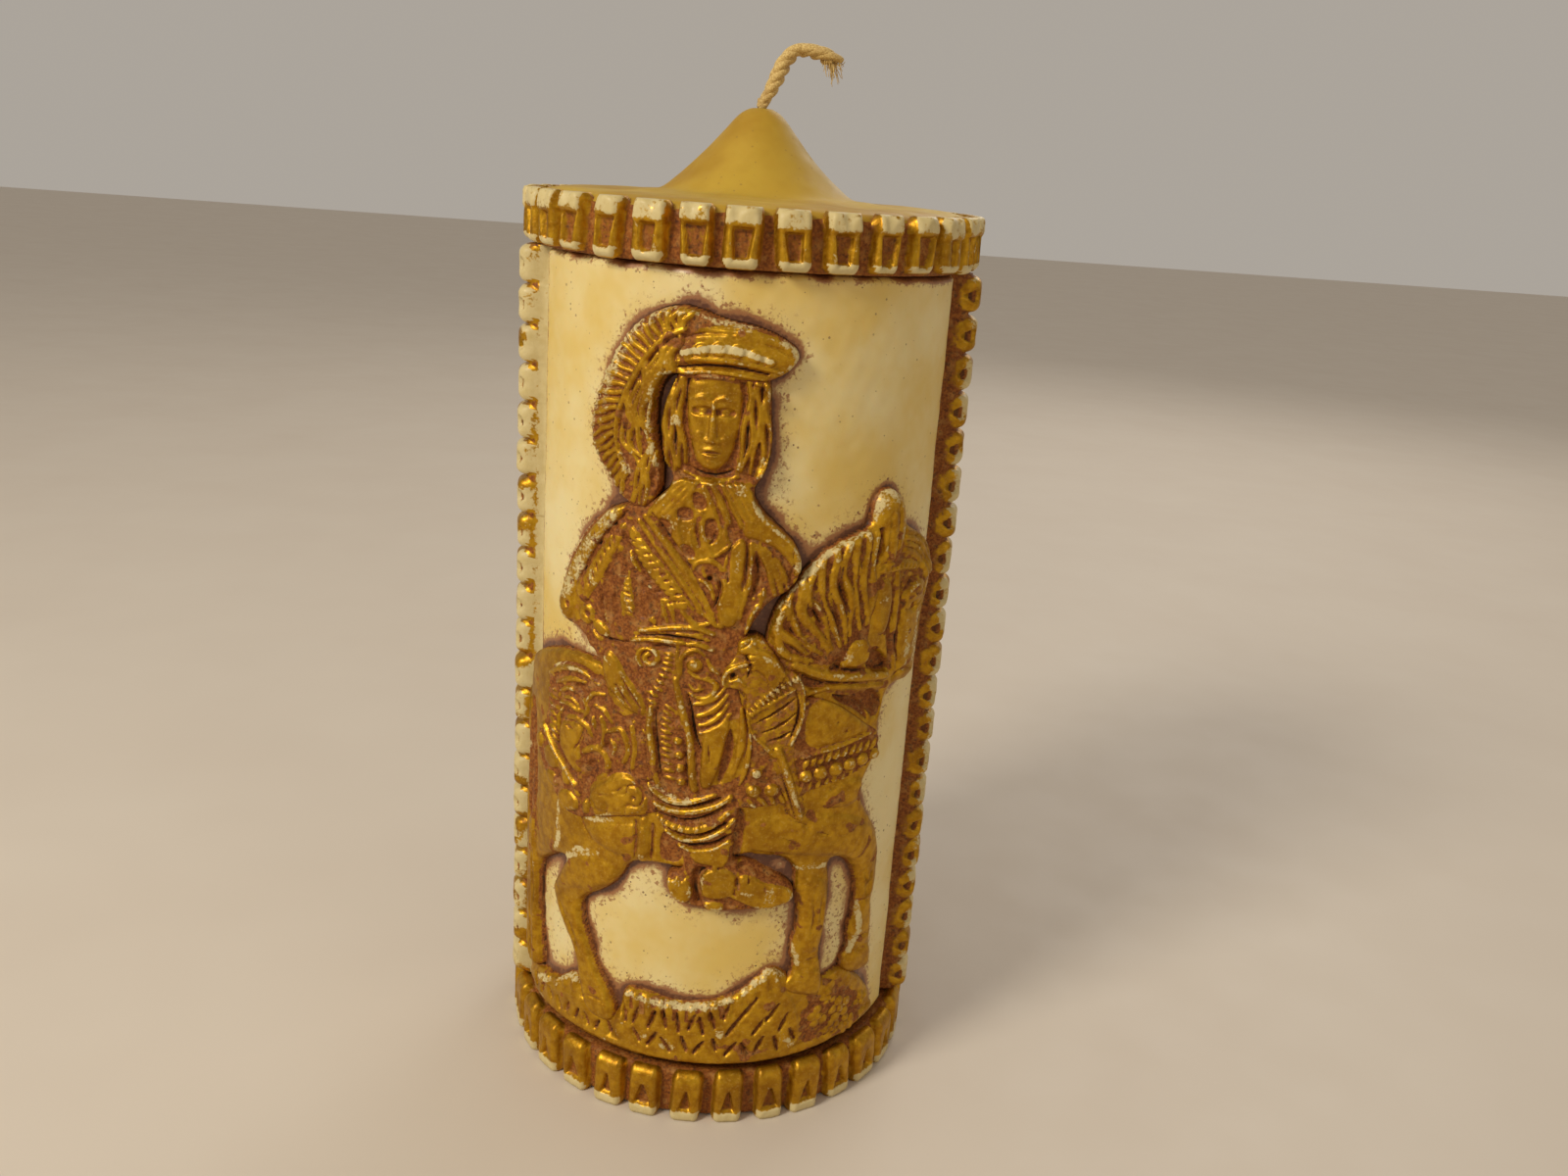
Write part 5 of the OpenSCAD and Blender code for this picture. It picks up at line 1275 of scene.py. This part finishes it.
# %% Rider: boots
for points, width in (([(-12, 65.6), (-10, 64.1), (-8, 63.3), (-5.5, 63.3), (-3, 64.2), (-1, 65.2)], 1.2),
        ([(-10.6, 62.4), (-8.6, 61.7), (-6, 61.6), (-3, 62.2), (-0.2, 63.4), (1.6, 65)], 1.4), ([(-10, 60),
        (-7.5, 58.6), (-4, 58.3), (-1, 59.6), (1.4, 62)], 1.5), ([(-8.4, 57.6), (-5.5, 56.4), (-2.5, 56.9), (0.5, 58.6),
        (2.4, 60.8)], 1.1), ([(-6, 55.2), (-3.6, 54.5), (-0.8, 55), (1.8, 56.8)], 1.0)):
    rider.ridge(points, width, 0.7, (0.7, 0.7))
rider.wash([(-20.5, 87), (-18.5, 87.3), (-12.2, 80), (-13.3, 77.5), (-18, 77.5), (-20.8, 82)], 0.3)
rider.wash([(-3.4, 77), (5, 81), (5, 70), (0, 66.5), (-3.4, 66.8)], 0.3)
rider.wash([(-31.5, 95.5), (-26, 99.3), (-23.4, 92), (-30, 89.8)], 0.4)
rider.plate([(-8, 49.2), (-6.8, 48.2), (-6.2, 49.6), (-5.4, 48.2), (-4.8, 49.4), (-4, 48.2), (-3.4, 46.4), (-4.4, 44.6),
    (-5.6, 44.2), (-7.4, 45.6)], 0.6, 0.5, 0.3)
rider.ticks([(-9.4, 59.8), (-6.8, 58.8), (-3.6, 59), (-0.4, 60.8)], 9, 1.7, 0.5, 0.4, 80, True)
for points in ([(-11.3, 64), (-9, 62.7), (-6, 62.4), (-3, 63.1), (0, 64.6)], [(-10.6, 61), (-7.5, 60), (-4.5, 60),
        (-1.5, 61.3), (0.8, 63.3)], [(-8.6, 58.4), (-5.5, 57.3), (-2, 57.9), (1.2, 60)], [(-7, 56), (-4, 55.4),
        (-0.5, 56.2), (2.2, 58)]):
    rider.groove(points, 0.7, 1.0, (0.6, 0.6))
rider.plate([(-4.6, 54), (-2, 54.4), (0.6, 55.8), (2, 56), (1.9, 52.8), (0.8, 51.6), (-0.6, 52), (-3.2, 52.2)], 0.6,
    0.6)
rider.plate([(-2.5, 50.6), (-0.2, 51.4), (1.4, 51.4), (3, 50.8), (3.4, 48.4), (2.6, 45.8), (-1.8, 45.6), (-2.4, 48)],
    0.7, 0.6)
rider.plate([(-1.8, 45), (1.4, 45), (1.6, 43.6), (0, 43.1), (-1.4, 43.8)], 0.55, 0.5)
rider.ridge([(-0.7, 53.4), (-0.2, 51.8), (-0.2, 50.4)], 1.0, 0.85)
rider.plate([(3.6, 50.4), (5.6, 50.4), (8, 48.6), (11.4, 47.8), (13.3, 46.2), (12.8, 44.4), (9, 43.6), (6, 44.4),
    (3, 46.3)], 0.75, 1.1)
rider.ridge([(2.6, 46.4), (4.6, 45.4), (7.4, 44.2), (10.4, 43.7)], 0.9, 0.7, (0.7, 0.7))
rider.groove([(5.3, 50.2), (5.4, 48.6)], 0.5, 0.7)
rider.groove([(3.6, 49.6), (3.8, 47.6)], 0.6, 0.7)
rider.groove([(8, 48.6), (8.3, 46.6)], 0.4, 0.3)
# Stain and painted shade: the gaps between the spur and the ankle, and between the shoe and the horse's belly, are sunk
# and darkened.
rider.sink([(-3.6, 51.4), (-1, 51.4), (-2.6, 49.6), (-2.6, 46.6), (-1.8, 44.6), (-3, 43.9), (-3.6, 46.4), (-3.9, 49)],
    1.1, 1.0)
rider.sink([(3.2, 52.6), (6, 52.4), (9, 50.6), (12.4, 48.6), (10.6, 48.7), (7.6, 49.6), (5.8, 51), (3.6, 51)], 1.1, 1.0)
for points in ([(-22.6, 110), (-26.4, 105.3), (-29.5, 99.6), (-31, 95)], [(-20.6, 87.3), (-18.6, 85.4)],
        [(-5.3, 88.6), (-5, 87.5)], [(3, 80), (4.4, 76), (4.2, 71)], [(-17.6, 85.6), (-15.4, 82), (-13, 79.8)],
        [(9.8, 108), (10.6, 104.8)], [(-11.6, 66.3), (-8, 64.2), (-4, 64)], [(-9.6, 58.6), (-5, 57.4)],
        [(4.2, 47.2), (6.4, 46.6)], [(0.6, 108.6), (0.3, 104)]):
    rider.rub(points, 1.3, 0.62)

# %% [markdown]
# The head is plain and calm, built on the usual proportions: eyes halfway between chin and crown and one
# eye's width apart, the foot of the nose halfway from eyes to chin, and the mouth a third below that.
# Hair hangs in waves on both sides.

# %% Rider: head and hair
HEAD_X, CHIN_Z, CROWN_Z, HEAD_HALF = -4.3, 119.9, 139.1, 4.2
EYES_Z = (CHIN_Z + CROWN_Z) / 2
NOSE_Z = (EYES_Z + CHIN_Z) / 2
MOUTH_Z = NOSE_Z - (NOSE_Z - CHIN_Z) / 3
EYE_WIDE = HEAD_HALF * 2 / 5
rider.sink([(-12.5, 133), (-9, 134.6), (0.8, 134.6), (4, 133), (4.3, 126), (3.6, 119.8), (-0.6, 118.2), (-8, 118.2),
    (-11.2, 120), (-12.5, 126)], 0.95, 0.0)
rider.mound([(HEAD_X - HEAD_HALF, EYES_Z + 6), (HEAD_X + HEAD_HALF, EYES_Z + 6), (HEAD_X + HEAD_HALF, EYES_Z - 1),
    (HEAD_X + HEAD_HALF * 0.75, MOUTH_Z), (HEAD_X + 1.7, CHIN_Z + 0.3), (HEAD_X - 1.7, CHIN_Z + 0.3),
    (HEAD_X - HEAD_HALF * 0.75, MOUTH_Z), (HEAD_X - HEAD_HALF, EYES_Z - 1)], 1.1, 2.4)
rider.wash([(HEAD_X - HEAD_HALF, EYES_Z + 5), (HEAD_X + HEAD_HALF, EYES_Z + 5), (HEAD_X + HEAD_HALF, EYES_Z - 1),
    (HEAD_X + 3, MOUTH_Z - 1), (HEAD_X, CHIN_Z - 0.5), (HEAD_X - 3, MOUTH_Z - 1), (HEAD_X - HEAD_HALF, EYES_Z - 1)], 0)
for hand in (-1, 1):
    eye = HEAD_X + hand * EYE_WIDE
    rider.groove([(eye - 1.05, EYES_Z - 0.1), (eye, EYES_Z + 0.1), (eye + 1.05, EYES_Z - 0.1)], 1.8, 0.8, (0.7, 0.7))
    rider.bead(eye, EYES_Z - 0.05, 0.6, 0.4)
    rider.ridge([(eye - 0.95, EYES_Z + 0.25), (eye, EYES_Z + 0.8), (eye + 0.95, EYES_Z + 0.25)], 0.45, 0.42, (0.7, 0.7))
    rider.ridge([(eye - 1.2, EYES_Z + 1.75), (eye, EYES_Z + 2.15), (eye + 1.2, EYES_Z + 1.75)], 0.9, 0.36, (0.6, 0.6))
    rider.ridge([(eye + hand * 0.5, NOSE_Z + 1.2), (eye + hand * 0.3, NOSE_Z - 0.3)], 1.9, 0.2, (0.6, 0.6))
    rider.bead(HEAD_X + hand * 0.75, NOSE_Z + 0.25, 0.5, 0.5)
    rider.groove([(HEAD_X + hand * 1.2, NOSE_Z), (HEAD_X + hand * 1.9, MOUTH_Z + 0.2)], 0.5, 0.2)
rider.ridge([(HEAD_X, EYES_Z + 1.4), (HEAD_X, NOSE_Z + 2), (HEAD_X, NOSE_Z + 0.35)], 1.25, 0.7, (0.45, 1.0))
rider.ridge([(HEAD_X - 1.25, MOUTH_Z + 0.3), (HEAD_X, MOUTH_Z + 0.5), (HEAD_X + 1.25, MOUTH_Z + 0.3)], 0.6, 0.35,
    (0.5, 0.5))
rider.ridge([(HEAD_X - 1, MOUTH_Z - 0.5), (HEAD_X, MOUTH_Z - 0.65), (HEAD_X + 1, MOUTH_Z - 0.5)], 0.7, 0.38, (0.5, 0.5))
rider.groove([(HEAD_X - 1.4, MOUTH_Z - 0.05), (HEAD_X, MOUTH_Z), (HEAD_X + 1.4, MOUTH_Z - 0.05)], 0.35, 0.4, (0.6, 0.6))
rider.bead(HEAD_X, CHIN_Z + 1.2, 1.1, 0.35)
rider.strands([[(-9, 134), (-9.4, 130), (-8.9, 125.5), (-8.4, 121)], [(-11.6, 133.6), (-12.3, 129.3), (-11.8, 124.4),
    (-10.4, 119.3)]], 5, 1.05, 1.0, (0.8, 0.5), 0.28)
rider.strands([[(0.6, 134), (0.7, 130), (0.2, 125), (-0.5, 120.6)], [(4, 134), (3.6, 130), (4.4, 124.5), (3.4, 119.6)]],
    5, 1.1, 1.0, (0.8, 0.5), 0.3)
rider.ridge([(-8.4, 119.6), (-6, 118.7), (-4.3, 118.4), (-2.4, 118.7), (-0.2, 119.4)], 1.0, 0.6)
rider.groove([(-8, 120.7), (-6.3, 119.8), (-4.3, 119.4), (-2.3, 119.8), (-0.8, 120.5)], 0.7, 0.8)

# %% [markdown]
# ### The beret
# A flat beret with a pearl band, and an ostrich plume that falls behind the shoulder: a spine, short
# barbs outside it and long loose ones inside.

# %% Beret and plume
beret = Casting("plumed_beret", [(-10.8, 134.6), (-8, 134.2), (-4, 134.6), (0, 134.1), (4, 134.2), (7.5, 136.8),
    (8.2, 139.4), (5, 141.4), (1, 142.8), (-3, 143.3), (-6, 144.3), (-9.5, 145.2), (-13.5, 144.3), (-17, 142),
    (-20.3, 137.6), (-22.8, 132.6), (-24.6, 127.6), (-24.8, 122.6), (-23, 119.4), (-20.4, 116.4), (-17.4, 113),
    (-14, 112.6), (-11.8, 115.5), (-11.8, 121), (-13, 124.5), (-13.4, 130), (-12.2, 133.6)], 1.3, 2.35, 1.2, 0.8)
beret.wash([(-11, 134.3), (-10, 140), (-5, 143), (1, 142.6), (8, 139.6), (7, 135.8), (0, 133.8)], 0.15)
beret.mound([(-10, 136.6), (-9, 140), (-5, 142), (0, 142), (5, 140.8), (7.4, 138.8), (5, 136.4), (-3, 137)], 0.35, 2.5)
for points, width in (([(-9.8, 136.7), (-6.5, 137.3), (-2, 137.3), (2.5, 136.6), (5.2, 136)], 0.9), ([(-9.6, 134.9),
        (-6, 135.4), (-1.5, 135.4), (2.8, 134.8)], 0.9)):
    beret.ridge(points, width, 0.5, (0.8, 0.7))
beret.groove([(-9.8, 135.8), (-6, 136.4), (-1.5, 136.4), (3.2, 135.7)], 0.6, 0.7, (0.7, 0.7))
for x, z, size in ((-8.7, 138, 1.0), (-6.4, 138.7, 1.05), (-3.9, 139, 1.1), (-1.3, 138.9, 1.05), (1.2, 138.3, 1.0),
        (3.4, 137.6, 0.8)):
    beret.bead(x, z, size, 0.6)
for points in ([(-9, 140.4), (-6, 141.2), (-2, 141.4)], [(2.5, 140.2), (5, 139.4), (6.4, 138.2)],
        [(-5, 142.4), (0, 142.2)]):
    beret.groove(points, 0.6, 0.4)
SPINE = [(-9, 141.5), (-12, 140), (-15, 136.3), (-17.8, 131), (-19.3, 126), (-18.9, 121.5), (-17.2, 118)]
beret.ridge(SPINE, 1.0, 0.75, (0.9, 0.5))
beret.strands([[(-9.3, 141.8), (-8.8, 143.4), (-7, 144.4)], [(-10.4, 141.2), (-10.8, 143.3), (-9.8, 144.9)],
    [(-11.8, 140.3), (-13, 142.7), (-12.8, 144.2)], [(-13.2, 138.8), (-15.4, 141), (-16, 142.4)], [(-14.6, 136.8),
    (-17.3, 138.6), (-18.7, 139.8)], [(-15.9, 134.6), (-18.8, 135.8), (-20.7, 136.6)], [(-17, 132.5), (-20, 132.8),
    (-22.3, 132.8)], [(-18, 130.3), (-21, 129.8), (-23.6, 129)], [(-18.9, 127.8), (-21.8, 126.6), (-24.3, 125.3)],
    [(-19.3, 125), (-21.8, 123.3), (-24, 121.8)], [(-19, 122.6), (-21, 120.6), (-22.6, 119.3)], [(-18.2, 120.3),
    (-19.6, 118.3), (-20.6, 117)], [(-17.4, 118.3), (-18, 116), (-18.3, 114.3)]], 26, 1.0, 0.6, (0.8, 0.5), 0.12)
beret.strands([[(-9.6, 140.4), (-10.4, 138.6), (-10.6, 136.4), (-11.4, 134.2)], [(-11.4, 139.6), (-12.2, 137),
    (-12.6, 134), (-13, 131.3)], [(-13, 138), (-13.6, 134.6), (-13.8, 131), (-13.4, 127.6)], [(-14.6, 135.6),
    (-15.2, 131.6), (-15, 128), (-13.8, 124.5)], [(-16.2, 132.6), (-16.6, 128.6), (-16.2, 125), (-14.6, 122)],
    [(-17.8, 129.4), (-18, 125.6), (-17.2, 122.4), (-15.4, 119.6)]], 10, 1.25, 0.75, (0.6, 0.45), 0.5)
beret.strands([[(-13.4, 124.4), (-15.2, 119), (-16.4, 114)], [(-12.3, 123.6), (-13.4, 118.5), (-14.4, 113.4)]], 4, 0.85,
    0.6, (0.7, 0.5), 0.2)
beret.sink([(-13.2, 121.5), (-12.2, 118.5), (-12.8, 115.8), (-13.8, 118)], 0.4, 0.8)
for points in ([(-11, 144.6), (-16, 142), (-20, 136.8), (-22.6, 131.5), (-24, 126), (-23.6, 121.5)], [(-14, 142.4),
        (-18.2, 137.6), (-21, 131.6), (-22, 126)], [(5.4, 140.6), (7.8, 138.8), (6.4, 136.8)], [(-4.4, 142.7),
        (1, 142.3)], [(-18.2, 121), (-17.2, 118.4)]):
    beret.rub(points, 2.2, 0.66)
beret.rub([(-9.2, 138), (-6.4, 138.8), (-3.9, 139.1), (-1.3, 139), (1.2, 138.4), (3.4, 137.7)], 1.7, 0.95)

# %% [markdown]
# ### The sword
# Only the hilt, the glove that holds it and the upper part of the blade are modelled; the rest passes
# behind the horse's shoulder.

# %% Sword and hand
sword = Casting("sword", [(0.8, 93.4), (4.5, 94), (7, 91.4), (9.2, 87.8), (11, 87.6), (12.8, 84.5), (13, 79),
    (11.2, 73.8), (13.2, 67), (14.8, 60), (11.6, 59.6), (9.2, 66), (7, 72.8), (3.8, 75.8), (2.6, 80), (3, 83.8),
    (-1.4, 84.3), (-1.3, 87.4), (1, 90.3)], 1.7, 2.45, 1.0, 0.5)
sword.bead(2.6, 92.1, 1.7, 0.65)
sword.groove([(1.5, 91.5), (2.7, 92.3), (3.4, 93.5)], 0.5, 0.45)
sword.strands([[(3.4, 91), (5, 91), (7, 89.4), (8.6, 87)], [(3.2, 88), (4.6, 88.4), (6.2, 87), (7.2, 84.6)]], 4, 1.15,
    0.7, (0.8, 0.8))
sword.groove([(2.6, 90.2), (3.4, 88.6), (3.1, 86.6)], 0.7, 0.8)
sword.ridge([(3, 89), (1, 88.2), (-0.3, 87.2), (-0.8, 85.6), (-0.3, 84.7)], 1.0, 0.7, (0.8, 0.9))
sword.ridge([(0.4, 85.6), (1.6, 86.2), (2.8, 85)], 0.9, 0.6)
sword.sink([(0.2, 87), (1.2, 87.4), (1.4, 86.4), (0.4, 86)], 0.9)
sword.ticks([(3.4, 79.5), (4.6, 81.1), (6.2, 82.7), (8, 84.4), (10, 86), (11.4, 86.2)], 13, 1.2, 0.75, 0.7, 90)
sword.ridge([(3, 78.6), (4.3, 80.2), (6.3, 81.6), (8.6, 83.1), (10.6, 84.4)], 0.7, 0.5)
sword.ridge([(11.6, 86.3), (12.6, 83), (12.4, 80), (11.6, 77), (10.5, 74.5)], 0.9, 0.65, (0.8, 0.7))
sword.groove([(10.8, 84.2), (11.5, 81.5), (11.4, 78.5), (10.6, 76)], 0.6, 0.7)
for points in ([(5, 78.6), (7.2, 79.9), (9.5, 81.6), (10.8, 82.8)], [(6, 76.8), (8, 77.6), (9.8, 78.8), (11, 80)],
        [(7, 75.2), (9, 75.8), (10.4, 76.8)]):
    sword.groove(points, 0.6, 0.7)
sword.ridge([(3, 80.6), (3.5, 78), (4.5, 76), (6, 74.5), (8.2, 72.6)], 1.2, 0.6, (0.8, 0.8))
sword.ridge([(8.6, 73.6), (10, 70), (11.4, 66), (13.2, 60.6)], 1.5, 0.7, (0.9, 0.7))
sword.groove([(9.4, 69.2), (10.8, 65.4), (12.3, 61)], 0.35, 0.4)
for points in ([(1.8, 92.8), (3.4, 91.8)], [(5, 90.6), (7, 88.8)], [(8.8, 73), (10.8, 67.4), (13, 61)], [(4.6, 81.6),
        (8, 84.9), (11, 86.6)], [(12.7, 83.5), (12.4, 79.5)]):
    sword.rub(points, 1.2, 0.62)

# %% [markdown]
# ## From drawing to wax
# The castings lie on one another, so a lower one is flattened where a higher one covers it. The highest
# surface at each place then tells where stain gathers and painted shade goes (hollows), and where hands rub (high
# edges).

# %% Layers, stain and painted shade in hollows, and wear
CASTINGS = [turf, horse, cloth, rider, beret, sword]
HIGHEST = 3.15
heights = {c.name: np.minimum(c.height(), HIGHEST) for c in CASTINGS}
for i, low in enumerate(CASTINGS):
    for high in CASTINGS[i + 1:]:
        cover = heights[high.name] - 0.3 + 3.4 * (1 - smooth_step(high.near / 0.9))
        heights[low.name] = np.where(high.near > 0, np.minimum(heights[low.name], np.maximum(cover, -0.35)),
            heights[low.name])
relief = np.maximum.reduce([np.where(c.near > 0, heights[c.name], 0.0) for c in CASTINGS])
relief = np.maximum(relief, 0)

def blurred(field, reach_mm):
    """The mean over a soft disc, made of three running means each way."""
    half = max(1, round(reach_mm / CELL_X / 1.7))
    for axis in (0, 1):
        for _ in range(3):
            field = np.swapaxes(field, 0, axis)
            padded = np.concatenate([np.repeat(field[:1], half + 1, axis=0), field,
                np.repeat(field[-1:], half, axis=0)])
            total = np.cumsum(padded, axis=0)
            field = np.swapaxes((total[2 * half + 1:] - total[:-2 * half - 1]) / (2 * half + 1), 0, axis)
    return field

def noise_map(seed, reach_mm):
    """Seeded noise over the map, softened, with a spread of 1."""
    noise = blurred(np.random.default_rng(seed).normal(size=MAP_X.shape), reach_mm)
    return noise / noise.std()

# Stain and painted shade in hollows: how far each place lies below its surroundings on the highest surface, so a lower
# casting also darkens where a higher one's edge stands over it.
recess_stain_and_shade = 0.75 * np.clip((blurred(relief, 0.5) - relief) / 0.4, 0, 1)
recess_stain_and_shade = recess_stain_and_shade + 0.5 * np.clip((blurred(relief, 1.5) - relief) / 0.9, 0, 1)
rubbed = np.clip((relief - blurred(relief, 0.9)) / 0.45, 0, 1) * smooth_step((relief - 1.2) / 1.4)
print(f"highest place {relief.max():.2f} mm, share that is hollow {(recess_stain_and_shade > 0.5).mean():.3f}")

fine_valley = smooth_step((blurred(relief, 0.55) - relief) / 0.16)
crumbs = np.clip(noise_map(41, 0.34), -2, 2)   # small lumps of wax on the ground between the strokes

def on_map(field, x, z):
    """Reads a map between its points."""
    u = np.clip((x + PANEL_HALF) / CELL_X, 0, MAP_COLUMNS - 1e-6)
    v = np.clip((z - PANEL_Z[0]) / CELL_Z, 0, MAP_ROWS - 1e-6)
    i, j = u.astype(int), v.astype(int)
    u, v = u - i, v - j
    low = field[j, i] * (1 - u) + field[j, i + 1] * u
    high = field[j + 1, i] * (1 - u) + field[j + 1, i + 1] * u
    return low * (1 - v) + high * v

# %% [markdown]
# Each casting becomes a closed slab: the cells of its outline, a smooth back buried in the panel, and a
# front that follows the map. The one for the back of the candle is the same, turned half round.

# %% Castings on both panels
def turned(places):
    return places * np.array((-1, -1, 1))

def sheet_place(column, row, columns, rows):
    """Where a sheet as large as the panel has its vertices, in mm on the map."""
    return (column / columns * 2 - 1) * PANEL_HALF, PANEL_Z[0] + row / rows * (PANEL_Z[1] - PANEL_Z[0])

mottle = noise_map(77, 0.9)
CELLS = {"turf": 0.30, "horse": 0.29, "saddle_cloth": 0.24, "rider": 0.23, "plumed_beret": 0.2, "sword": 0.2}   # mm
CASTING_BACK = -0.8    # mm above the panel's ground
SMALLEST_SCRAP = 300   # cells

def joined(cells, seen):
    """Closes corners that only touch, and drops hidden scraps."""
    for _ in range(3):
        cells[1:, :-1] |= cells[1:, 1:] & cells[:-1, :-1] & ~cells[:-1, 1:]
        cells[1:, 1:] |= cells[1:, :-1] & cells[:-1, 1:] & ~cells[:-1, :-1]
    left = cells.copy()
    for start in zip(*np.nonzero(cells)):
        if not left[start]:
            continue
        left[start], island = False, [start]
        for j, i in island:
            for place in ((j + 1, i), (j - 1, i), (j, i + 1), (j, i - 1)):
                if 0 <= place[0] < cells.shape[0] and 0 <= place[1] < cells.shape[1] and left[place]:
                    left[place] = False
                    island.append(place)
        if len(island) < SMALLEST_SCRAP and not any(seen[place] for place in island):
            for place in island:
                cells[place] = False
    return cells

def make_casting(casting, back_side):
    columns, rows = cells_of(CELLS[casting.name])
    field = heights[casting.name]
    x, z = sheet_place(*np.meshgrid(np.arange(columns + 1), np.arange(rows + 1)), columns, rows)
    shown = (on_map(casting.near, x, z) > -0.35) & (on_map(field, x, z) > on_map(relief, x, z) - 0.5)
    cells = joined(shown[:-1, :-1] | shown[1:, :-1] | shown[:-1, 1:] | shown[1:, 1:],
        on_map(field - relief, x, z) > -0.02)
    node_name = ("back_" if back_side else "front_") + casting.name
    bare = casting.ground * np.maximum(1 - smooth_step((casting.ridges - 0.08) / 0.3), fine_valley)
    wear = np.maximum(casting.wear, 0.6 * rubbed)
    stain = np.maximum(casting.stain, bare * (1 - 0.25 * np.clip(crumbs, 0, 2)))
    stain = np.maximum(stain, 0.6 * smooth_step((mottle - 1.2) / 0.7))
    wear = np.maximum(wear, 0.56 * smooth_step((-mottle - 1.2) / 0.6) * smooth_step((casting.ridges - 0.1) / 0.3))
    shape = field + lumps(MAP_X, MAP_Z, 2.6, 5) * 0.035 + crumbs * (0.02 + 0.07 * bare)

    def bend(column, row, front):
        x, z = sheet_place(column, row, columns, rows)
        radius = GROUND_R + np.where(front, np.maximum(on_map(shape, x, z), -0.3), CASTING_BACK)
        places = on_cylinder(x, z, radius)
        tone = tones(on_map(wear, x, z), np.where(front, on_map(recess_stain_and_shade, x, z), 0), on_map(stain, x, z))
        return (turned(places) if back_side else places), tone

    return finish_mesh(node_name + "_casting", flat_sheet(columns, rows, cells), bend, GILT, [node_name])

for back_side in (False, True):
    for casting in CASTINGS:
        make_casting(casting, back_side)

# %% [markdown]
# ### The panels
# The ivory wax behind the castings is nearly flat, with a soft pillowy edge. Brown dressing wax is left
# in a halo round every casting.

# %% Panels
PANEL_CELL = 0.62
PANEL_BACK = -2.6      # mm above the panel's ground
PANEL_COLUMNS, PANEL_ROWS = cells_of(PANEL_CELL)
covered = (relief > 0.15).astype(float)
patches = np.clip(noise_map(42, 2.2), -2, 2)
halo = np.clip(blurred(covered, 0.9) * 2.6, 0, 1) * (0.95 + 0.25 * patches)
halo += blurred(covered, 3.0) * (1.0 + 0.6 * patches)
halo += 0.34 * blurred(covered, 7.0)

def make_panel(back_side):
    def bend(column, row, front):
        x, z = sheet_place(column, row, PANEL_COLUMNS, PANEL_ROWS)
        edge = np.minimum(PANEL_HALF - np.abs(x), np.minimum(z - PANEL_Z[0], PANEL_Z[1] - z))
        swell = 0.10 * lumps(x, z, 14, 3) + 0.05 * lumps(x, z, 5, 4) - 0.06
        radius = GROUND_R + np.where(front, np.minimum(swell, 0.05) - 0.9 * (1 - dome(edge / 1.2)), PANEL_BACK)
        places = on_cylinder(x, z, radius)
        stain = on_map(halo, x, z) + (0.75 + 0.3 * on_map(patches, x, z)) * np.clip(1 - edge / 1.8, 0, 1)
        return (turned(places) if back_side else places), tones(0 * x, np.clip(1 - edge, 0, 1) * 0.5, stain)

    side = "back" if back_side else "front"
    finish_mesh(side + "_relief_panel", flat_sheet(PANEL_COLUMNS, PANEL_ROWS), bend, IVORY,
        [side + "_panel"])

make_panel(False)
make_panel(True)
